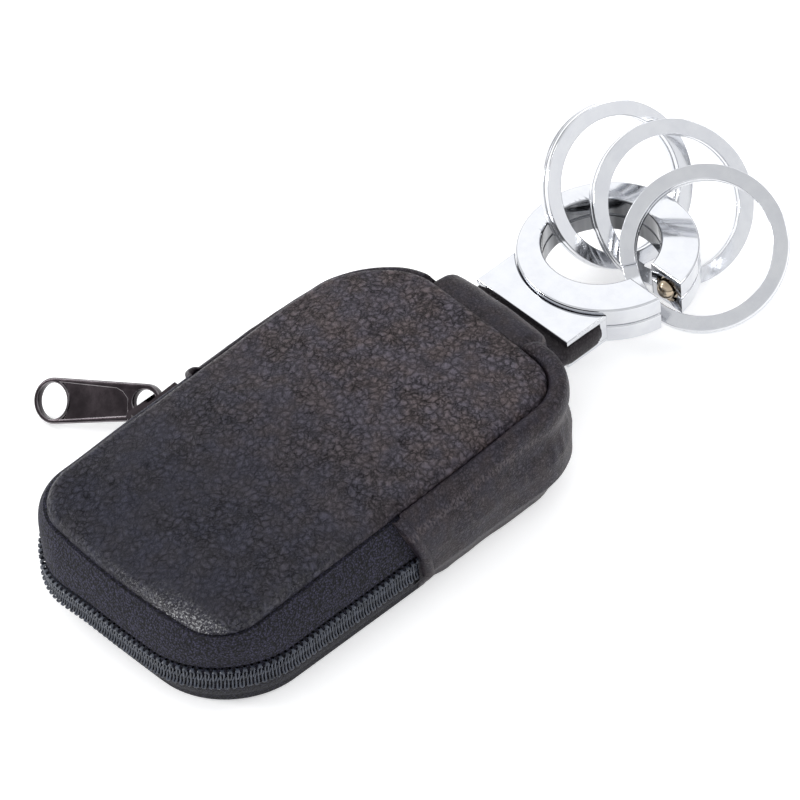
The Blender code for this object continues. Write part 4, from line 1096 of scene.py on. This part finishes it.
def ball():
    """The sprung ball that closes the gate, with its collar behind the lip."""
    collar_end = COLLAR_START + COLLAR_LENGTH
    profile = arc(0, BALL_SINK, BALL_RADIUS, -QUARTER, 0.38, 24)
    profile += [(COLLAR_RADIUS, COLLAR_START), (COLLAR_RADIUS, collar_end), (0.0, collar_end)]
    bm = bmesh.new()
    verts = [bm.verts.new(bore_place(0) + Vector((r, along, 0))) for r, along in profile]
    edges = [bm.edges.new(pair) for pair in zip(verts, verts[1:])]
    bmesh.ops.spin(bm, geom=verts + edges, cent=bore_place(BALL_SINK), axis=(0, 1, 0), angle=math.tau,
                   steps=48, use_merge=True)
    bmesh.ops.remove_doubles(bm, verts=bm.verts, dist=0.000002)
    made = make_object("gate_ball", bm, "bronze")
    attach(made, "plunger")
    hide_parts("ball_plunger")


def key_ring(name, centre, face, start):
    """A flat split ring: two turns of flat wire, with a jog where one turn climbs to the next."""
    turn = Vector(face).to_track_quat("Z", "Y").to_matrix()
    start = math.radians(start)
    section = rounded_box(KEY_RING_BAND / 2, KEY_RING_WIRE / 2, KEY_RING_EDGE, 3)
    middle = KEY_RING_RADIUS - KEY_RING_BAND / 2
    layer = (KEY_RING_WIRE + KEY_RING_GAP) / 2
    whole = 2 * math.tau - 2 * KEY_RING_END
    loops = []
    for i in range(KEY_RING_STEPS + 1):
        angle = KEY_RING_END + whole * i / KEY_RING_STEPS
        climb = min(max((angle - math.tau) / KEY_RING_JOG, -1), 1)
        height = layer * math.sin(climb * QUARTER)
        out = Vector((math.cos(start + angle), math.sin(start + angle), 0))
        loops.append([Vector(centre) + turn @ (out * (middle + r) + Vector((0, 0, height + z)))
                      for r, z in section])
    made = loft(name.replace("key_ring", "split_ring"), loops, "nickel")
    crisp(made, 60.0)
    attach(made, name)
    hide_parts(name)


def tab_outline():
    """Round ends joined by their common tangents, along +X from the neck to the wide end."""
    lean = math.asin((TAB_END_RADIUS - TAB_NECK_RADIUS) / TAB_PITCH)
    neck = arc(0, 0, TAB_NECK_RADIUS, QUARTER + lean, 3 * QUARTER - lean, 40)
    return neck + arc(TAB_PITCH, 0, TAB_END_RADIUS, -QUARTER - lean, QUARTER + lean, 40)


def tab_window():
    """The recessed panel's outline: hollow round the far hole, angled by the eye."""
    start = TAB_EYE[0] / 2 + 0.0010
    wide, narrow = TAB_END_RADIUS - TAB_RIM, TAB_NECK_RADIUS - TAB_RIM
    reach_x, reach_y = (size / 2 + TAB_HOLE_LIP for size in TAB_HOLE)
    sweep = math.asin(wide / reach_y)
    points = []
    for i in range(17):
        angle = mix(-sweep, sweep, i / 16)
        points.append((TAB_PITCH + TAB_HOLE_SHIFT - reach_x * math.cos(angle), reach_y * math.sin(angle)))
    return points + [(start, narrow), (start, -narrow * 0.25), (start + 0.0008, -narrow * 0.75),
                     (start + 0.0018, -narrow)]


def pull_tab():
    swing = Matrix.Rotation(math.pi + TAB_SWING, 4, "Z")
    droop = Matrix.Rotation(TAB_DROOP, 4, "Y")
    roll = Matrix.Rotation(TAB_ROLL - QUARTER, 4, "X")
    place = Matrix.Translation(TAB_EYE_PLACE) @ swing @ droop @ roll
    holes = [circle(0, TAB_EYE[0] / 2, TAB_EYE[1] / 2, 64),
             circle(TAB_PITCH + TAB_HOLE_SHIFT, TAB_HOLE[0] / 2, TAB_HOLE[1] / 2, 64)]
    window = tab_window()
    rim = plate("pull_tab_rim", [tab_outline(), *holes, window], 0, TAB_THICK, TAB_EDGE, "gunmetal", place, 4)
    middle_x = sum(x for x, _ in window) / len(window)
    floor = [(mix(middle_x, x, 1.04), y * 1.1) for x, y in window]
    panel = plate("pull_tab_panel", [floor], 0, TAB_THICK - 2 * TAB_RECESS, 0.00005, "gunmetal", place, 1)
    made = joined(rim, panel)
    made.name = "pull_tab_plate"
    made.data.materials.append(LOOKS["gunmetal_painted_glint"])
    # The bevel faces take the lighter gunmetal: a painted highlight along the tab's edges.
    facing = (place.to_3x3() @ Vector((0, 0, 1))).normalized()
    for face in made.data.polygons:
        face.material_index = 1 if 0.30 < abs(face.normal.dot(facing)) < 0.94 else 0
    crisp(made)
    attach(made, "pull_tab")
    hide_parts("pull_tab")


CAD_LOOKS = {
    "slider_body": "gunmetal", "slider_bail": "gunmetal", "bottom_board": "board",
    "clamp_post_left": "steel", "clamp_post_right": "steel", "plunger_spring": "steel",
    "ring_pin_left": "steel", "ring_pin_rear": "steel",
}


def cad_finishes():
    """Looks for the CAD nodes that stay."""
    for name, look in CAD_LOOKS.items():
        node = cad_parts[name]
        node.data.materials.clear()
        node.data.materials.append(LOOKS[look])
        if look == "gunmetal":
            soften = node.modifiers.new("edges", "BEVEL")
            soften.width, soften.segments, soften.limit_method = 0.00030, 3, "ANGLE"


# Stage.


def stage():
    bm = bmesh.new()
    bm.faces.new([bm.verts.new((x * FLOOR_REACH, y * FLOOR_REACH, -0.00002))
                  for x, y in ((-1, -1), (1, -1), (1, 1), (-1, 1))])
    make_object("floor", bm, "paper", rounded=False)


def softbox(name, direction, size, radiance):
    """An area light of a given brightness, aimed at the wallet from a direction."""
    data = bpy.data.lights.new(name, "AREA")
    data.shape = "RECTANGLE"
    data.size, data.size_y = size
    data.energy = radiance * size[0] * size[1] * math.pi
    lamp = bpy.data.objects.new(name, data)
    direction = Vector(direction).normalized()
    lamp.location = LIGHT_AIM + direction * LIGHT_DISTANCE
    lamp.rotation_euler = direction.to_track_quat("Z", "Y").to_euler()
    bpy.context.scene.collection.objects.link(lamp)


def lights():
    softbox("back_left", (-0.54, 0.46, 0.70), (0.58, 0.44), 0.50)
    softbox("front_left_low", (-0.54, -0.69, 0.41), (0.13, 0.08), 32.0)
    softbox("left_high", (-0.70, -0.35, 0.62), (0.16, 0.16), 4.5)
    softbox("right_high", (0.50, 0.62, 0.62), (0.16, 0.16), 5.0)
    softbox("right", (0.92, 0.27, 0.34), (0.40, 0.26), 0.20)
    world = Nodes(bpy.data.worlds.new("studio"), "Background")
    _, _, up = world.split(world.add("ShaderNodeTexCoord").outputs["Generated"])
    ramp = world.add("ShaderNodeValToRGB", Fac=up)
    ramp.color_ramp.interpolation = "EASE"
    stops = ((0.0, 0.30), (0.10, 0.34), (0.22, 0.92), (0.60, 1.0), (1.0, 0.80))
    while len(ramp.color_ramp.elements) < len(stops):
        ramp.color_ramp.elements.new(0.5)
    for element, (height, level) in zip(ramp.color_ramp.elements, stops):
        element.position = height
        element.color = (level * 0.99, level, level * 1.02, 1.0)
    bpy.context.scene.world = world.finish(Color=ramp.outputs[0], Strength=1.0)


def camera():
    sine, cosine = math.sin(CAMERA_AZIMUTH), math.cos(CAMERA_AZIMUTH)
    level = math.cos(CAMERA_ELEVATION)
    back = Vector((sine * level, -cosine * level, math.sin(CAMERA_ELEVATION)))
    right = Vector((cosine, sine, 0))
    up = back.cross(right)
    turned_right = right * math.cos(CAMERA_ROLL) + up * math.sin(CAMERA_ROLL)
    turned_up = up * math.cos(CAMERA_ROLL) - right * math.sin(CAMERA_ROLL)
    data = bpy.data.cameras.new("camera")
    data.lens = CAMERA_LENS
    data.sensor_width = CAMERA_SENSOR
    data.clip_end = 10.0
    made = bpy.data.objects.new("camera", data)
    turn = Matrix((turned_right, turned_up, back)).transposed().to_4x4()
    made.matrix_world = Matrix.Translation(CAMERA_TARGET + back * CAMERA_DISTANCE) @ turn
    bpy.context.scene.collection.objects.link(made)
    bpy.context.scene.camera = made


def main():
    view = bpy.context.scene.view_settings
    view.view_transform = "Standard"
    view.look = "None"
    top_panel()
    top_pad()
    top_lining()
    base()
    tapes()
    chain()
    gusset()
    strap()
    c_ring()
    bracket()
    ball()
    for name, row in KEY_RINGS.items():
        key_ring(name, *row)
    pull_tab()
    cad_finishes()
    stage()
    lights()
    camera()


main()
